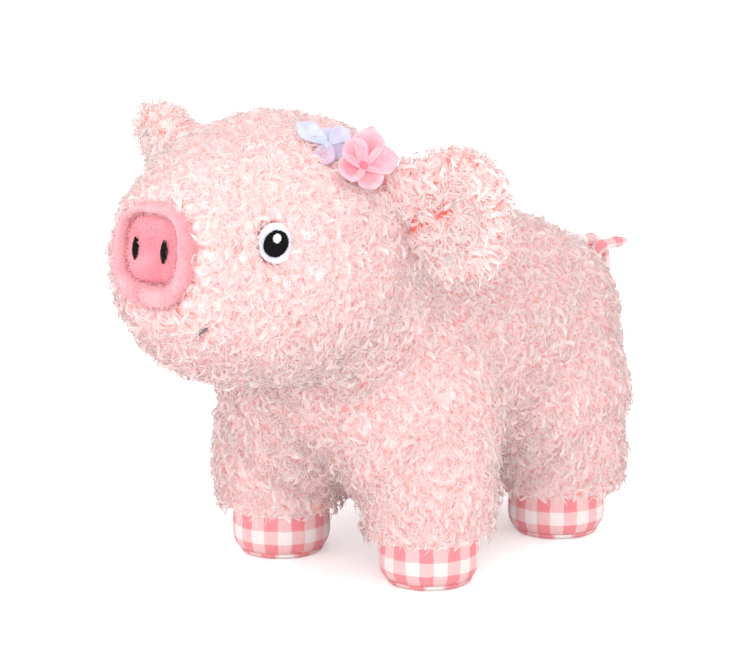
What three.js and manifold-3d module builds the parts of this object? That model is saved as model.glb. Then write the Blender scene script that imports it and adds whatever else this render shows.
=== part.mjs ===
// A standing plush pig, in millimetres: +Z is up, the pig faces -Y and its left side is +X.
// Every soft form is a skin of rings that swell and taper. Smaller forms are cut by the larger ones.
import * as THREE from "three";
import { mergeVertices } from "three/addons/utils/BufferGeometryUtils.js";
import Module from "manifold-3d";

const wasm = await Module();
wasm.setup();

// Fit between pieces that touch, and the length by which a cutting shape runs past what it cuts
const seat_gap = 0.3;
const overrun = 12;
// Corners nearer than this are one corner, and a rounded edge takes this share of its thickness
const merge_distance = 0.0001;
const edge_share = 1 / 3;

// Curled plush: the knitted backing with its pile
const fur_depth = 9;

// Trunk
const body_length = 204;
const body_half_width = 61;
const body_half_height = 58;
const body_centre_height = 93;
const body_front_reach = 96; // chest ahead of the middle of the feet
const body_curve = 2.3;
// along the trunk from the chest to the rump, then half width, half height and rise of the centre
const body_shares = [
  [0, 0, 0, 0.06],
  [0.015, 0.4, 0.4, 0.06],
  [0.075, 0.68, 0.66, 0.05],
  [0.2, 0.88, 0.86, 0.02],
  [0.4, 0.96, 0.96, 0],
  [0.6, 1, 1, 0],
  [0.78, 1, 0.96, -0.03],
  [0.91, 0.88, 0.82, -0.07],
  [0.98, 0.58, 0.53, -0.08],
  [1, 0, 0, -0.08],
];
const neck_opening_radius = 26;
const neck_opening_setback = 35; // of its middle from the chest
const neck_opening_drop = 13; // of its middle from the trunk's top

// Head: a ball with a short muzzle, tipped up a little
const head_length = 138;
const head_half_width = 61;
const head_half_height = 57;
const head_reach = 119; // centre of the head ahead of the middle of the feet
const head_height = 156.5;
const head_pitch_degrees = 6;
const head_curve = 2.1;
const head_shares = [
  [0, 0, 0, 0],
  [0, 0.33, 0.38, 0],
  [0.03, 0.44, 0.51, -0.02],
  [0.1, 0.56, 0.66, -0.06],
  [0.22, 0.73, 0.83, -0.08],
  [0.38, 0.91, 0.96, -0.05],
  [0.56, 1, 1, 0],
  [0.72, 0.97, 0.97, 0],
  [0.85, 0.83, 0.84, 0],
  [0.94, 0.6, 0.6, 0],
  [0.985, 0.33, 0.33, 0],
  [1, 0, 0, 0],
];

// Legs and feet
const foot_spacing = 83.6;
const wheelbase = 103;
const sole_flat_radius = 17.5;
const sole_radius = 21;
const sole_rise = 2.5;
const cotton_thickness = 1.1;
const cuff_radius = 22.3;
const cuff_height = 27;
// along the sole's lip and up its rise to its bend, then up the cuff to the end of its rounded foot
const sole_bend_shares = [0.75, 0.33];
const cuff_foot_share = 0.25;
const hem_height = 21.5;
const leg_height = 104;
const front_leg_radius = 31;
const hind_leg_radius = 32;
const leg_lean = 7; // inward at the shoulder
const leg_shares = [
  [0, 0, 0, 0],
  [0, 0.86, 0.86, 0],
  [0.06, 0.95, 0.95, 0],
  [0.25, 1, 1, 0],
  [0.5, 0.98, 1.02, 0.35],
  [0.75, 0.84, 0.92, 0.75],
  [0.93, 0.5, 0.55, 1],
  [1, 0, 0, 1],
];

// Snout: a padded ring, thickest below, round a sunken pad that sits high in it
const snout_half_width = 18.9;
const snout_half_height = 21.4;
const snout_proud = 4.4;
const snout_rim_width = 4.9; // at the sides
const snout_pad_half_height = 14.3;
const snout_pad_rise = 2.6; // above the ring's middle
const snout_pad_sink = 2.4;
const snout_edge_radius = 3.2;
const nostril_spacing = 15.2;
const nostril_rise = 2.4;
const nostril_half_width = 1.7;
const nostril_half_height = 5.4;
const stitch_thickness = 0.8;

// Eyes
const eye_ahead = 39.8; // of the head's centre, in the head's own frame
const eye_rise = 8.3;
const eye_half_width = 8.2;
const eye_half_height = 8.6;
const felt_thickness = 1.4;
const eye_sink = 3.2;
const pupil_radius = 5.1;
const highlight_radius = 2.1;
const highlight_rise = 2.2;

// Mouth
const mouth_half_width = 22;
const mouth_drop = 28.5; // below the head's centre line at its ends
const mouth_sag = 7;
const mouth_thread_radius = 0.9;
const mouth_steps = 8;
const mouth_sides = 6;

// Ears
const ear_length = 50;
const ear_half_width = 31;
const ear_panel_thickness = 7;
const ear_edge_thickness = 2.2;
const ear_cup = 9;
const ear_root_inset = 8; // from the widest part of the head
const ear_root_back = 25;
const ear_root_rise = 23;
const ear_root_overlap = 9;
const left_ear_sweep_degrees = 26;
const right_ear_sweep_degrees = 33;
const ear_droop_degrees = 5;
const ear_tilt_degrees = 14;
const ear_limit_degrees = [-10, 25]; // forward, then back
// how square a flap's sides and tip are as it thins to its edge
const flap_squareness = 4;
// along the ear, then its half width
const ear_outline_shares = [
  [0, 0.46],
  [0.2, 0.7],
  [0.42, 0.94],
  [0.62, 1],
  [0.8, 0.88],
  [0.92, 0.62],
  [0.98, 0.34],
  [1, 0],
];

// Felt flowers at the root of the left ear
const flower_petals = 5;
const petal_thickness = 1.5;
const petal_cup = 2.6;
const pink_petal_length = 15;
const pink_petal_half_width = 7.6;
const pink_petal_lift_degrees = 27;
const blue_petal_length = 12.5;
const blue_petal_half_width = 6.4;
const blue_petal_lift_degrees = 20;
const blue_flower_turn_share = 0.5; // of the way from one petal to the next
const flower_stem_radius = 3.4;
const flower_stem_height = 3;
const flower_centre_radius = 3.2;
const pink_flower_side = 46;
const pink_flower_back = 6;
const blue_flower_side = 31.4;
const blue_flower_back = 0;
const petal_outline_shares = [
  [0, 0.42],
  [0.3, 0.74],
  [0.6, 1],
  [0.84, 0.84],
  [0.96, 0.46],
  [1, 0],
];

// Tail: a tube that leaves the rump, turns one curl and points up at its tip
const tail_radius = 3.9;
const tail_tip_radius = 2.6;
const tail_root_height = 122;
const tail_root_overlap = 7;
const tail_reach = 36;
const tail_curl_radius = 8.5;
const tail_curl_start = 4; // to the side of the root
const tail_curl_pitch = 10;
const tail_curl_points = 6;
const tail_tip_length = 15;
const tail_tip_side = 16;
const tail_tip_rise = 3;
// out to the curl, then up as a share of the curl's radius and aside as a share of its start
const tail_straight_shares = [
  [0.33, 0.25, 0],
  [0.67, 0.25, 0.6],
];
// of the radius, on the last ring of a tube
const tube_end_share = 0.6;
const tail_limit_degrees = [-25, 25];

// How finely the forms are drawn
const body_rings = 18;
const body_points = 24;
const head_rings = 20;
const head_points = 24;
const fill_rings = 9;
const fill_points = 14;
const leg_rings = 9;
const leg_points = 16;
const round_segments = 20;
const small_segments = 14;
const ear_rings = 8;
const ear_across = 4;
const petal_rings = 4;
const petal_across = 2;
const tail_points = 8;

const radians = THREE.MathUtils.degToRad;
const curl_pink = new THREE.Color("#f6d2d2");
const gingham_pink = new THREE.Color("#f2b6bb");
const velour_pink = new THREE.Color("#f9b3bb");
const velour_deep_pink = new THREE.Color("#fb9aa6");
const felt_pink = new THREE.Color("#f7a3bb");
const felt_deep_pink = new THREE.Color("#ee7f9c");
const felt_blue = new THREE.Color("#cfd6f2");
const thread_black = new THREE.Color("#18161a");
const thread_grey = new THREE.Color("#6d6468");
const felt_white = new THREE.Color("#f4f6fb");
const fill_white = new THREE.Color("#f3f0ec");

const materials = {
  curled_plush: fabric(curl_pink, 0.95),
  gingham_cotton: fabric(gingham_pink, 0.85),
  velour: fabric(velour_pink, 0.8),
  deep_velour: fabric(velour_deep_pink, 0.78),
  pink_felt: fabric(felt_pink, 0.9),
  deep_pink_felt: fabric(felt_deep_pink, 0.9),
  blue_felt: fabric(felt_blue, 0.9),
  black_thread: fabric(thread_black, 0.55),
  grey_thread: fabric(thread_grey, 0.6),
  white_thread: fabric(felt_white, 0.6),
  white_felt: fabric(felt_white, 0.85),
  polyester_fill: fabric(fill_white, 1),
};

const pig = new THREE.Group();

// A cloth material with no metal in it.
function fabric(color, roughness) {
  return new THREE.MeshStandardMaterial({ color, roughness, metalness: 0 });
}

// One closed surface through rings of points, all of the same count, with a point or a flat fan at each end.
function skin(rings, first_pole, last_pole) {
  const count = rings[0].length;
  const points = rings.flat();
  const faces = [];
  for (let ring = 0; ring + 1 < rings.length; ring++) {
    for (let i = 0; i < count; i++) {
      const next = (i + 1) % count;
      const a = ring * count + i;
      const b = ring * count + next;
      const c = a + count;
      const d = b + count;
      faces.push(a, b, d, a, d, c);
    }
  }
  const last_ring = (rings.length - 1) * count;
  points.push(first_pole, last_pole);
  for (let i = 0; i < count; i++) {
    const next = (i + 1) % count;
    faces.push(points.length - 2, next, i);
    faces.push(points.length - 1, last_ring + i, last_ring + next);
  }
  const geometry = new THREE.BufferGeometry().setFromPoints(points);
  geometry.setIndex(faces);
  return geometry;
}

// A geometry as a manifold-3d solid, facing out whichever way its faces were listed.
function solidOf(geometry) {
  const bare = geometry.clone();
  bare.deleteAttribute("normal");
  bare.deleteAttribute("uv");
  const merged = mergeVertices(bare, merge_distance);
  const solid = solidFrom(merged.attributes.position.array, merged.index.array);
  if (solid.volume() > 0) return solid;
  return solidFrom(merged.attributes.position.array, merged.index.array.slice().reverse());
}

function solidFrom(positions, faces) {
  return new wasm.Manifold(
    new wasm.Mesh({
      numProp: 3,
      vertProperties: new Float32Array(positions),
      triVerts: new Uint32Array(faces),
    }),
  );
}

// The largest connected body of a solid, without the crumbs that a cut can leave.
function mainBody(solid) {
  const bodies = solid.decompose();
  return bodies.reduce((best, body) => (body.volume() > best.volume() ? body : best));
}

// Adds a solid to the pig as a named mesh, and returns the mesh.
function addPiece(name, solid, material) {
  const mesh = mainBody(solid).getMesh();
  const positions = new Float32Array(mesh.vertProperties);
  const geometry = new THREE.BufferGeometry();
  geometry.setAttribute("position", new THREE.BufferAttribute(positions, 3));
  geometry.setIndex(new THREE.BufferAttribute(new Uint32Array(mesh.triVerts), 1));
  geometry.computeVertexNormals();
  const piece = new THREE.Mesh(geometry, material);
  piece.name = name;
  pig.add(piece);
  return piece;
}

function cut(solid, ...tools) {
  return tools.reduce((left, tool) => left.subtract(tool), solid);
}

function signedPower(value, power) {
  return Math.sign(value) * Math.abs(value) ** power;
}

// Rings of a form that swells and tapers. place(along, across, through) turns its own directions into the
// part's. inset draws the whole surface in by that much, and a negative one grows it.
function swellingForm({ shares, length, across, through, lean, curve, rings, points, inset, place }) {
  const girth = new THREE.CatmullRomCurve3(shares.map(([s, w, h]) => new THREE.Vector3(s, w, h)));
  const shift = new THREE.CatmullRomCurve3(shares.map(([, , , rise]) => new THREE.Vector3(rise, 0, 0)));
  const middle = length / 2;
  const keep = (middle - inset) / middle;
  const at = (along) => middle + (along * length - middle) * keep;
  const made = [];
  for (let ring = 1; ring < rings; ring++) {
    const t = (1 - Math.cos((Math.PI * ring) / rings)) / 2;
    const { x: along, y: width, z: height } = girth.getPoint(t);
    const rise = shift.getPoint(t).x * lean;
    made.push(
      Array.from({ length: points }, (_, i) => {
        const turn = (2 * Math.PI * i) / points;
        const u = signedPower(Math.cos(turn), 2 / curve) * Math.abs(width) * (across - inset);
        const v = signedPower(Math.sin(turn), 2 / curve) * Math.abs(height) * (through - inset);
        return place(at(along), u, v, rise);
      }),
    );
  }
  return skin(made, place(at(0), 0, 0, shares[0][3] * lean), place(at(1), 0, 0, shares.at(-1)[3] * lean));
}

function bodyForm(inset, rings, points) {
  return solidOf(
    swellingForm({
      shares: body_shares,
      length: body_length,
      across: body_half_width,
      through: body_half_height,
      lean: body_half_height,
      curve: body_curve,
      rings,
      points,
      inset,
      place: (along, u, v, rise) =>
        new THREE.Vector3(u, along - body_front_reach, body_centre_height + rise + v),
    }),
  );
}

// From the head's own frame, with its origin at the head's centre, to the pig's.
const head_frame = new THREE.Matrix4()
  .makeTranslation(0, -head_reach, head_height)
  .multiply(new THREE.Matrix4().makeRotationX(-radians(head_pitch_degrees)));

function headGeometry(inset, rings, points) {
  return swellingForm({
    shares: head_shares,
    length: head_length,
    across: head_half_width,
    through: head_half_height,
    lean: head_half_height,
    curve: head_curve,
    rings,
    points,
    inset,
    place: (along, u, v, rise) =>
      new THREE.Vector3(u, along - head_length / 2, v + rise).applyMatrix4(head_frame),
  });
}

function headForm(inset, rings, points) {
  return solidOf(headGeometry(inset, rings, points));
}

// The point of the head's outer surface that a ray in the head's own frame meets first, and its normal.
const head_surface = new THREE.Mesh(
  headGeometry(0, head_rings, head_points),
  new THREE.MeshStandardMaterial({ side: THREE.DoubleSide }),
);

function headSeat(from, towards) {
  const origin = from.clone().applyMatrix4(head_frame);
  const direction = towards.clone().transformDirection(head_frame);
  const [hit] = new THREE.Raycaster(origin, direction).intersectObject(head_surface);
  const normal = hit.face.normal.clone();
  if (normal.dot(direction) > 0) normal.negate();
  return { point: hit.point, normal };
}

// A frame whose Z is the seat's normal and whose Y is as near as can be to upright.
function seatFrame({ point, normal }, upright = new THREE.Vector3(0, 0, 1)) {
  const x = new THREE.Vector3().crossVectors(upright, normal).normalize();
  const y = new THREE.Vector3().crossVectors(normal, x);
  return new THREE.Matrix4().makeBasis(x, y, normal).setPosition(point);
}

// A turned solid, its axis along Z, from [radius, height] corners.
function turned(corners, segments = round_segments) {
  const profile = corners.map(([radius, height]) => new THREE.Vector2(radius, height));
  const geometry = new THREE.LatheGeometry(profile, segments);
  geometry.rotateX(Math.PI / 2);
  return geometry;
}

// A turned solid drawn out along Y to its own half height.
function oval(corners, half_width, half_height, segments) {
  return turned(corners, segments).scale(1, half_height / half_width, 1);
}

// A disc that stands on Z = 0 with its top edge rounded off, as wide as asked, with its own half height.
function disc(half_width, half_height, thickness) {
  const edge = thickness * edge_share;
  const corners = [
    [0, 0],
    [half_width, 0],
    [half_width, thickness - edge],
    [half_width - edge, thickness],
    [0, thickness],
  ];
  return oval(corners, half_width, half_height, small_segments);
}

// A plain cylinder that stands on Z = 0, oval where its half height differs.
function drum(half_width, half_height, thickness, segments = round_segments) {
  const corners = [
    [0, 0],
    [half_width, 0],
    [half_width, thickness],
    [0, thickness],
  ];
  return oval(corners, half_width, half_height, segments);
}

// The four feet, named by their corner: side is +1 on the pig's left, end is -1 at the front.
const feet = [
  { name: "front_left", side: 1, end: -1, radius: front_leg_radius },
  { name: "front_right", side: -1, end: -1, radius: front_leg_radius },
  { name: "hind_left", side: 1, end: 1, radius: hind_leg_radius },
  { name: "hind_right", side: -1, end: 1, radius: hind_leg_radius },
].map((foot) => ({ ...foot, x: (foot.side * foot_spacing) / 2, y: (foot.end * wheelbase) / 2 }));

function legForm(foot, inset, rings, points) {
  return solidOf(
    swellingForm({
      shares: leg_shares,
      length: leg_height - hem_height,
      across: foot.radius,
      through: foot.radius,
      lean: leg_lean,
      curve: 2,
      rings,
      points,
      inset,
      place: (along, u, v, rise) =>
        new THREE.Vector3(foot.x - foot.side * rise + u, foot.y + v, hem_height + along),
    }),
  );
}

function standing(foot, geometry) {
  return solidOf(geometry.translate(foot.x, foot.y, 0));
}

// Gingham sole: flat underneath, turned up to its seam.
function addSole(foot) {
  const [out_share, up_share] = sole_bend_shares;
  const bend_radius = THREE.MathUtils.lerp(sole_flat_radius, sole_radius, out_share);
  const sole = turned([
    [0, 0],
    [sole_flat_radius, 0],
    [bend_radius, sole_rise * up_share],
    [sole_radius, sole_rise],
    [sole_radius - cotton_thickness, sole_rise],
    [sole_flat_radius, cotton_thickness],
    [0, cotton_thickness],
  ]);
  addPiece(`sole_${foot.name}`, standing(foot, sole), materials.gingham_cotton);
}

// Gingham cuff: a band that rounds in to the sole's seam.
function addCuff(foot) {
  const base = sole_rise + seat_gap;
  const shoulder = base + cuff_height * cuff_foot_share;
  const cuff = turned([
    [sole_radius, base],
    [cuff_radius - cotton_thickness * edge_share, (base + shoulder) / 2],
    [cuff_radius, shoulder],
    [cuff_radius, cuff_height],
    [cuff_radius - cotton_thickness, cuff_height],
    [cuff_radius - cotton_thickness, shoulder],
    [sole_radius - cotton_thickness, base],
    [sole_radius, base],
  ]);
  addPiece(`cuff_${foot.name}`, standing(foot, cuff), materials.gingham_cotton);
}

// The fibre inside the foot, below the leg's own filling.
function footFill(foot, grow) {
  const radius = cuff_radius - cotton_thickness - seat_gap + grow;
  const floor = cotton_thickness + seat_gap - grow;
  const waist = sole_rise + cuff_height * cuff_foot_share;
  return standing(
    foot,
    turned(
      [
        [0, floor],
        [sole_flat_radius - seat_gap, floor],
        [sole_radius - cotton_thickness - 2 * seat_gap + grow, sole_rise + seat_gap],
        [radius, waist],
        [radius, cuff_height + overrun],
        [0, cuff_height + overrun],
      ],
      leg_points,
    ),
  );
}

function addLeg(foot, body_cutter) {
  const filled = footFill(foot, 0).add(legForm(foot, fur_depth + seat_gap, fill_rings, leg_points));
  const hollow = footFill(foot, seat_gap).add(legForm(foot, fur_depth, fill_rings, leg_points));
  const sleeve_radius = cuff_radius + seat_gap;
  const sleeve = standing(foot, drum(sleeve_radius, sleeve_radius, cuff_height + seat_gap));
  const cover = cut(legForm(foot, 0, leg_rings, leg_points), hollow, sleeve, body_cutter);
  addPiece(`leg_cover_${foot.name}`, cover, materials.curled_plush);
  addPiece(`leg_stuffing_${foot.name}`, cut(filled, body_cutter), materials.polyester_fill);
}

// Trunk: a hollow cover, open at the neck and over each leg, round its filling.
function addBody() {
  const neck = new THREE.SphereGeometry(neck_opening_radius, leg_points, fill_rings).translate(
    0,
    neck_opening_setback - body_front_reach,
    body_centre_height + body_half_height - neck_opening_drop,
  );
  const leg_hole_height = body_centre_height - body_half_height / 2;
  const leg_holes = feet.map((foot) =>
    standing(foot, drum(sole_flat_radius, sole_flat_radius, leg_hole_height)),
  );
  const hollow = bodyForm(fur_depth, fill_rings, fill_points);
  const cover = cut(bodyForm(0, body_rings, body_points), hollow, solidOf(neck), ...leg_holes);
  const filled = bodyForm(fur_depth + seat_gap, fill_rings, fill_points);
  addPiece("body_cover", cover, materials.curled_plush);
  addPiece("body_stuffing", filled, materials.polyester_fill);
}

// The snout's own frame: its origin is on the muzzle's face and Z points ahead.
const snout_frame = head_frame
  .clone()
  .multiply(new THREE.Matrix4().makeTranslation(0, -head_length / 2, 0))
  .multiply(new THREE.Matrix4().makeRotationX(Math.PI / 2));

function inSnout(geometry) {
  return solidOf(geometry.applyMatrix4(snout_frame));
}

const snout_back = seat_gap - fur_depth;
const pad_front = snout_proud - snout_pad_sink;
const pad_half_width = snout_half_width - snout_rim_width - seat_gap;

// The velour ring's own form, rounded in front, before the pad's place is cut in it.
function snoutDome() {
  const corners = [
    [0, snout_back],
    [snout_half_width, snout_back],
    [snout_half_width, snout_proud - snout_edge_radius],
    [snout_half_width - snout_edge_radius * edge_share, snout_proud - snout_edge_radius * edge_share],
    [snout_half_width - snout_rim_width / 2, snout_proud],
    [0, snout_proud],
  ];
  return inSnout(oval(corners, snout_half_width, snout_half_height));
}

// The pad's place in the ring: straight sides that open out to a rounded edge in front.
function padPlace() {
  const half_width = pad_half_width + seat_gap;
  const half_height = snout_pad_half_height + seat_gap;
  const corners = [
    [0, snout_back - overrun],
    [half_width, snout_back - overrun],
    [half_width, snout_proud - snout_edge_radius],
    [half_width + snout_edge_radius * edge_share, snout_proud - snout_edge_radius * edge_share],
    [half_width + snout_rim_width * edge_share, snout_proud],
    [half_width + snout_rim_width * edge_share, snout_proud + overrun],
    [0, snout_proud + overrun],
  ];
  return inSnout(oval(corners, half_width, half_height).translate(0, snout_pad_rise, 0));
}

// Velour ring round a flatter pad that carries the two nostrils.
function addSnout() {
  addPiece("snout_ring", cut(snoutDome(), padPlace()), materials.velour);
  const corners = [
    [0, snout_back],
    [pad_half_width, snout_back],
    [pad_half_width, pad_front - snout_pad_sink / 2],
    [pad_half_width - snout_pad_sink / 2, pad_front],
    [0, pad_front],
  ];
  const pad = oval(corners, pad_half_width, snout_pad_half_height).translate(0, snout_pad_rise, 0);
  addPiece("snout_pad", inSnout(pad), materials.deep_velour);
  for (const [name, side] of [["nostril_left", 1], ["nostril_right", -1]]) {
    const nostril = disc(nostril_half_width, nostril_half_height, stitch_thickness);
    nostril.translate((side * nostril_spacing) / 2, nostril_rise, pad_front + seat_gap);
    addPiece(name, inSnout(nostril), materials.black_thread);
  }
}

// The hole in the head cover that the snout sits in.
function snoutHole() {
  const hole = drum(snout_half_width + seat_gap, snout_half_height + seat_gap, fur_depth + 2 * overrun);
  return inSnout(hole.translate(0, 0, snout_back - overrun));
}

// An eye is a felt oval sunk in the pile, with an embroidered pupil and highlight on it. Returns its pocket.
function addEye(name, side) {
  const beside = new THREE.Vector3(side * head_length, -eye_ahead, eye_rise);
  const seat = headSeat(beside, new THREE.Vector3(-side, 0, 0));
  const frame = seatFrame(seat);
  const base = -eye_sink - felt_thickness;
  const pupil_base = base + felt_thickness + seat_gap;
  const highlight_base = pupil_base + stitch_thickness + seat_gap;
  const white = disc(eye_half_width, eye_half_height, felt_thickness).translate(0, 0, base);
  const pupil = disc(pupil_radius, pupil_radius, stitch_thickness).translate(0, 0, pupil_base);
  const highlight = disc(highlight_radius, highlight_radius, stitch_thickness);
  highlight.translate(0, highlight_rise, highlight_base);
  addPiece(`eye_white_${name}`, solidOf(white.applyMatrix4(frame)), materials.white_felt);
  addPiece(`pupil_${name}`, solidOf(pupil.applyMatrix4(frame)), materials.black_thread);
  addPiece(`eye_highlight_${name}`, solidOf(highlight.applyMatrix4(frame)), materials.white_thread);
  const pocket = drum(eye_half_width + seat_gap, eye_half_height + seat_gap, overrun);
  return solidOf(pocket.translate(0, 0, base - seat_gap).applyMatrix4(frame));
}

// A tube of rings along points, from one radius to another, with a rounded last end.
function tube(points, first_radius, last_radius, sides) {
  const curve = new THREE.CatmullRomCurve3(points);
  const steps = points.length * 2;
  const frames = curve.computeFrenetFrames(steps, false);
  const rings = [];
  for (let step = 0; step <= steps; step++) {
    const centre = curve.getPointAt(step / steps);
    const radius = THREE.MathUtils.lerp(first_radius, last_radius, step / steps);
    const round = step === steps ? tube_end_share : 1;
    rings.push(
      Array.from({ length: sides }, (_, i) => {
        const turn = (2 * Math.PI * i) / sides;
        return centre
          .clone()
          .addScaledVector(frames.normals[step], Math.cos(turn) * radius * round)
          .addScaledVector(frames.binormals[step], Math.sin(turn) * radius * round);
      }),
    );
  }
  const nose = curve.getPointAt(1).addScaledVector(frames.tangents[steps], last_radius / 2);
  return skin(rings, curve.getPointAt(0), nose);
}

// The mouth's thread follows the muzzle below the snout, half sunk in the cover. Returns its groove.
function addMouth() {
  const points = [];
  for (let step = 0; step <= mouth_steps; step++) {
    const share = (2 * step) / mouth_steps - 1;
    const drop = mouth_drop + mouth_sag * (1 - share * share);
    const from = new THREE.Vector3(share * mouth_half_width, -head_length, -drop);
    points.push(headSeat(from, new THREE.Vector3(0, 1, 0)).point);
  }
  addPiece(
    "mouth_stitching",
    solidOf(tube(points, mouth_thread_radius, mouth_thread_radius, mouth_sides)),
    materials.grey_thread,
  );
  const ends = [points[0], points.at(-1)].map((point, i) => {
    const inward = points[i ? points.length - 2 : 1];
    return point.clone().addScaledVector(point.clone().sub(inward).normalize(), 2 * mouth_thread_radius);
  });
  const groove = [ends[0], ...points, ends[1]];
  const groove_radius = (mouth_thread_radius + seat_gap) / Math.cos(Math.PI / mouth_sides);
  return solidOf(tube(groove, groove_radius, groove_radius, mouth_sides));
}

// A flap of cloth from its root at the origin along X, its width along Y, on the +Z side of its middle.
function flap({ outline, length, half_width, inner, thickness, edge, cup, rings, across, root }) {
  const curve = new THREE.SplineCurve(outline.map(([s, w]) => new THREE.Vector2(s, w)));
  const made = [];
  const bend = (share, along) => -cup * share * share * Math.min(1, along / length);
  for (let ring = 0; ring < rings; ring++) {
    const { x: s, y: w } = curve.getPoint(ring / rings);
    const along = ring === 0 ? -root : s * length;
    const near = [];
    const far = [];
    for (let i = 0; i <= across; i++) {
      const share = (2 * i) / across - 1;
      const full = 1 - share ** flap_squareness;
      const tip = Math.sqrt(1 - s ** flap_squareness);
      const depth = edge + (thickness - edge) * full * tip;
      const z = bend(share * w, Math.max(along, 0));
      near.push(new THREE.Vector3(along, share * w * half_width, z + inner));
      far.push(new THREE.Vector3(along, share * w * half_width, z + inner + depth));
    }
    made.push([...near, ...far.reverse()]);
  }
  const pole = (along, z) => new THREE.Vector3(along, 0, z);
  return skin(made, pole(-root, inner + thickness / 2), pole(length, inner + edge / 2));
}

// Cuts a solid clear of its seat at rest and at both limits of its swing about an axis.
function clearOfSwing(solid, seat, pivot, axis, limits) {
  const angles = [limits[0], limits[0] / 2, 0, limits[1] / 2, limits[1]];
  return angles.reduce((left, degrees) => {
    const swing = new THREE.Matrix4()
      .makeTranslation(pivot)
      .multiply(new THREE.Matrix4().makeRotationAxis(axis, -radians(degrees)))
      .multiply(new THREE.Matrix4().makeTranslation(pivot.clone().negate()));
    return left.subtract(seat.transform(swing.elements));
  }, solid);
}

// An ear is a front and a back panel of plush, hinged along its root seam.
function addEar(name, side, sweep, head_cutter) {
  const root_side = head_half_width - ear_root_inset;
  const pivot = new THREE.Vector3(side * root_side, ear_root_back, ear_root_rise).applyMatrix4(head_frame);
  const turn = new THREE.Euler(
    radians(ear_tilt_degrees),
    radians(ear_droop_degrees),
    radians(sweep),
    "ZYX",
  );
  const frame = new THREE.Matrix4().makeRotationFromEuler(turn).multiply(
    new THREE.Matrix4().makeRotationX(Math.PI / 2),
  );
  const mirror = new THREE.Matrix4().makeScale(side, 1, 1);
  const place = new THREE.Matrix4().makeTranslation(pivot).multiply(mirror).multiply(frame);
  const axis = new THREE.Vector3(0, 1, 0).applyMatrix4(frame).applyMatrix4(mirror).normalize();
  const limits = side > 0 ? ear_limit_degrees : ear_limit_degrees.map((limit) => -limit).reverse();
  const shape = {
    outline: ear_outline_shares,
    length: ear_length,
    half_width: ear_half_width,
    thickness: ear_panel_thickness,
    edge: ear_edge_thickness,
    rings: ear_rings,
    across: ear_across,
    root: ear_root_overlap,
  };
  const front = flap({ ...shape, inner: seat_gap / 2, cup: -ear_cup });
  const back = flap({ ...shape, inner: seat_gap / 2, cup: ear_cup }).scale(1, 1, -1);
  for (const [panel, geometry] of [["front", front], ["back", back]]) {
    const whole = solidOf(geometry.applyMatrix4(place));
    const trimmed = clearOfSwing(whole, head_cutter, pivot, axis, limits);
    const piece = addPiece(`ear_${panel}_${name}`, trimmed, materials.curled_plush);
    piece.userData.hinge = { pivot, axis, limits };
  }
}

// Five cupped petals round a stem that stands on the head.
function flowerSolid(seat, { length, half_width, lift, turn = 0 }, grow = 0) {
  const stem = disc(flower_stem_radius + grow, flower_stem_radius + grow, flower_stem_height + 2 * grow);
  let flower = solidOf(stem.translate(0, 0, seat_gap - grow).applyMatrix4(seat));
  for (let petal = 0; petal < flower_petals; petal++) {
    const leaf = flap({
      outline: petal_outline_shares,
      length: length + grow,
      half_width: half_width + grow,
      inner: -grow,
      thickness: petal_thickness + 2 * grow,
      edge: petal_thickness / 2 + 2 * grow,
      cup: -petal_cup,
      rings: petal_rings,
      across: petal_across,
      root: flower_stem_radius / 2,
    });
    leaf.rotateY(-radians(lift));
    leaf.rotateZ((2 * Math.PI * (petal + turn)) / flower_petals);
    leaf.translate(0, 0, flower_stem_height / 2);
    flower = flower.add(solidOf(leaf.applyMatrix4(seat)));
  }
  return flower;
}

function flowerSeat(side, back) {
  const seat = headSeat(new THREE.Vector3(side, back, head_length), new THREE.Vector3(0, 0, -1));
  return seatFrame(seat, new THREE.Vector3(0, -1, 0));
}

function addFlowers(head_cutter) {
  const pink_seat = flowerSeat(pink_flower_side, pink_flower_back);
  const pink_shape = {
    length: pink_petal_length,
    half_width: pink_petal_half_width,
    lift: pink_petal_lift_degrees,
  };
  const pink = flowerSolid(pink_seat, pink_shape);
  const blue_seat = flowerSeat(blue_flower_side, blue_flower_back);
  const blue = flowerSolid(blue_seat, {
    length: blue_petal_length,
    half_width: blue_petal_half_width,
    lift: blue_petal_lift_degrees,
    turn: blue_flower_turn_share,
  });
  const centre_base = flower_stem_height + 2 * seat_gap;
  const room_radius = flower_centre_radius + seat_gap;
  const centre_room = drum(room_radius, room_radius, overrun).translate(0, 0, centre_base - seat_gap);
  const centre = disc(flower_centre_radius, flower_centre_radius, flower_stem_height);
  centre.translate(0, 0, centre_base);
  const room = solidOf(centre_room.applyMatrix4(pink_seat));
  addPiece("pink_flower", cut(pink, head_cutter, room), materials.pink_felt);
  addPiece("pink_flower_centre", solidOf(centre.applyMatrix4(pink_seat)), materials.deep_pink_felt);
  const pink_cutter = flowerSolid(pink_seat, pink_shape, seat_gap);
  addPiece("blue_flower", cut(blue, head_cutter, pink_cutter, room), materials.blue_felt);
}

function addHead(body_cutter) {
  const pockets = [addEye("left", 1), addEye("right", -1)];
  const groove = addMouth();
  const outer = headForm(0, head_rings, head_points);
  const hollow = headForm(fur_depth, fill_rings, fill_points);
  const cover = cut(outer, hollow, body_cutter, snoutHole(), groove, ...pockets);
  addPiece("head_cover", cover, materials.curled_plush);
  const filled = headForm(fur_depth + seat_gap, fill_rings, fill_points);
  addPiece("head_stuffing", cut(filled, body_cutter), materials.polyester_fill);
}

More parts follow.
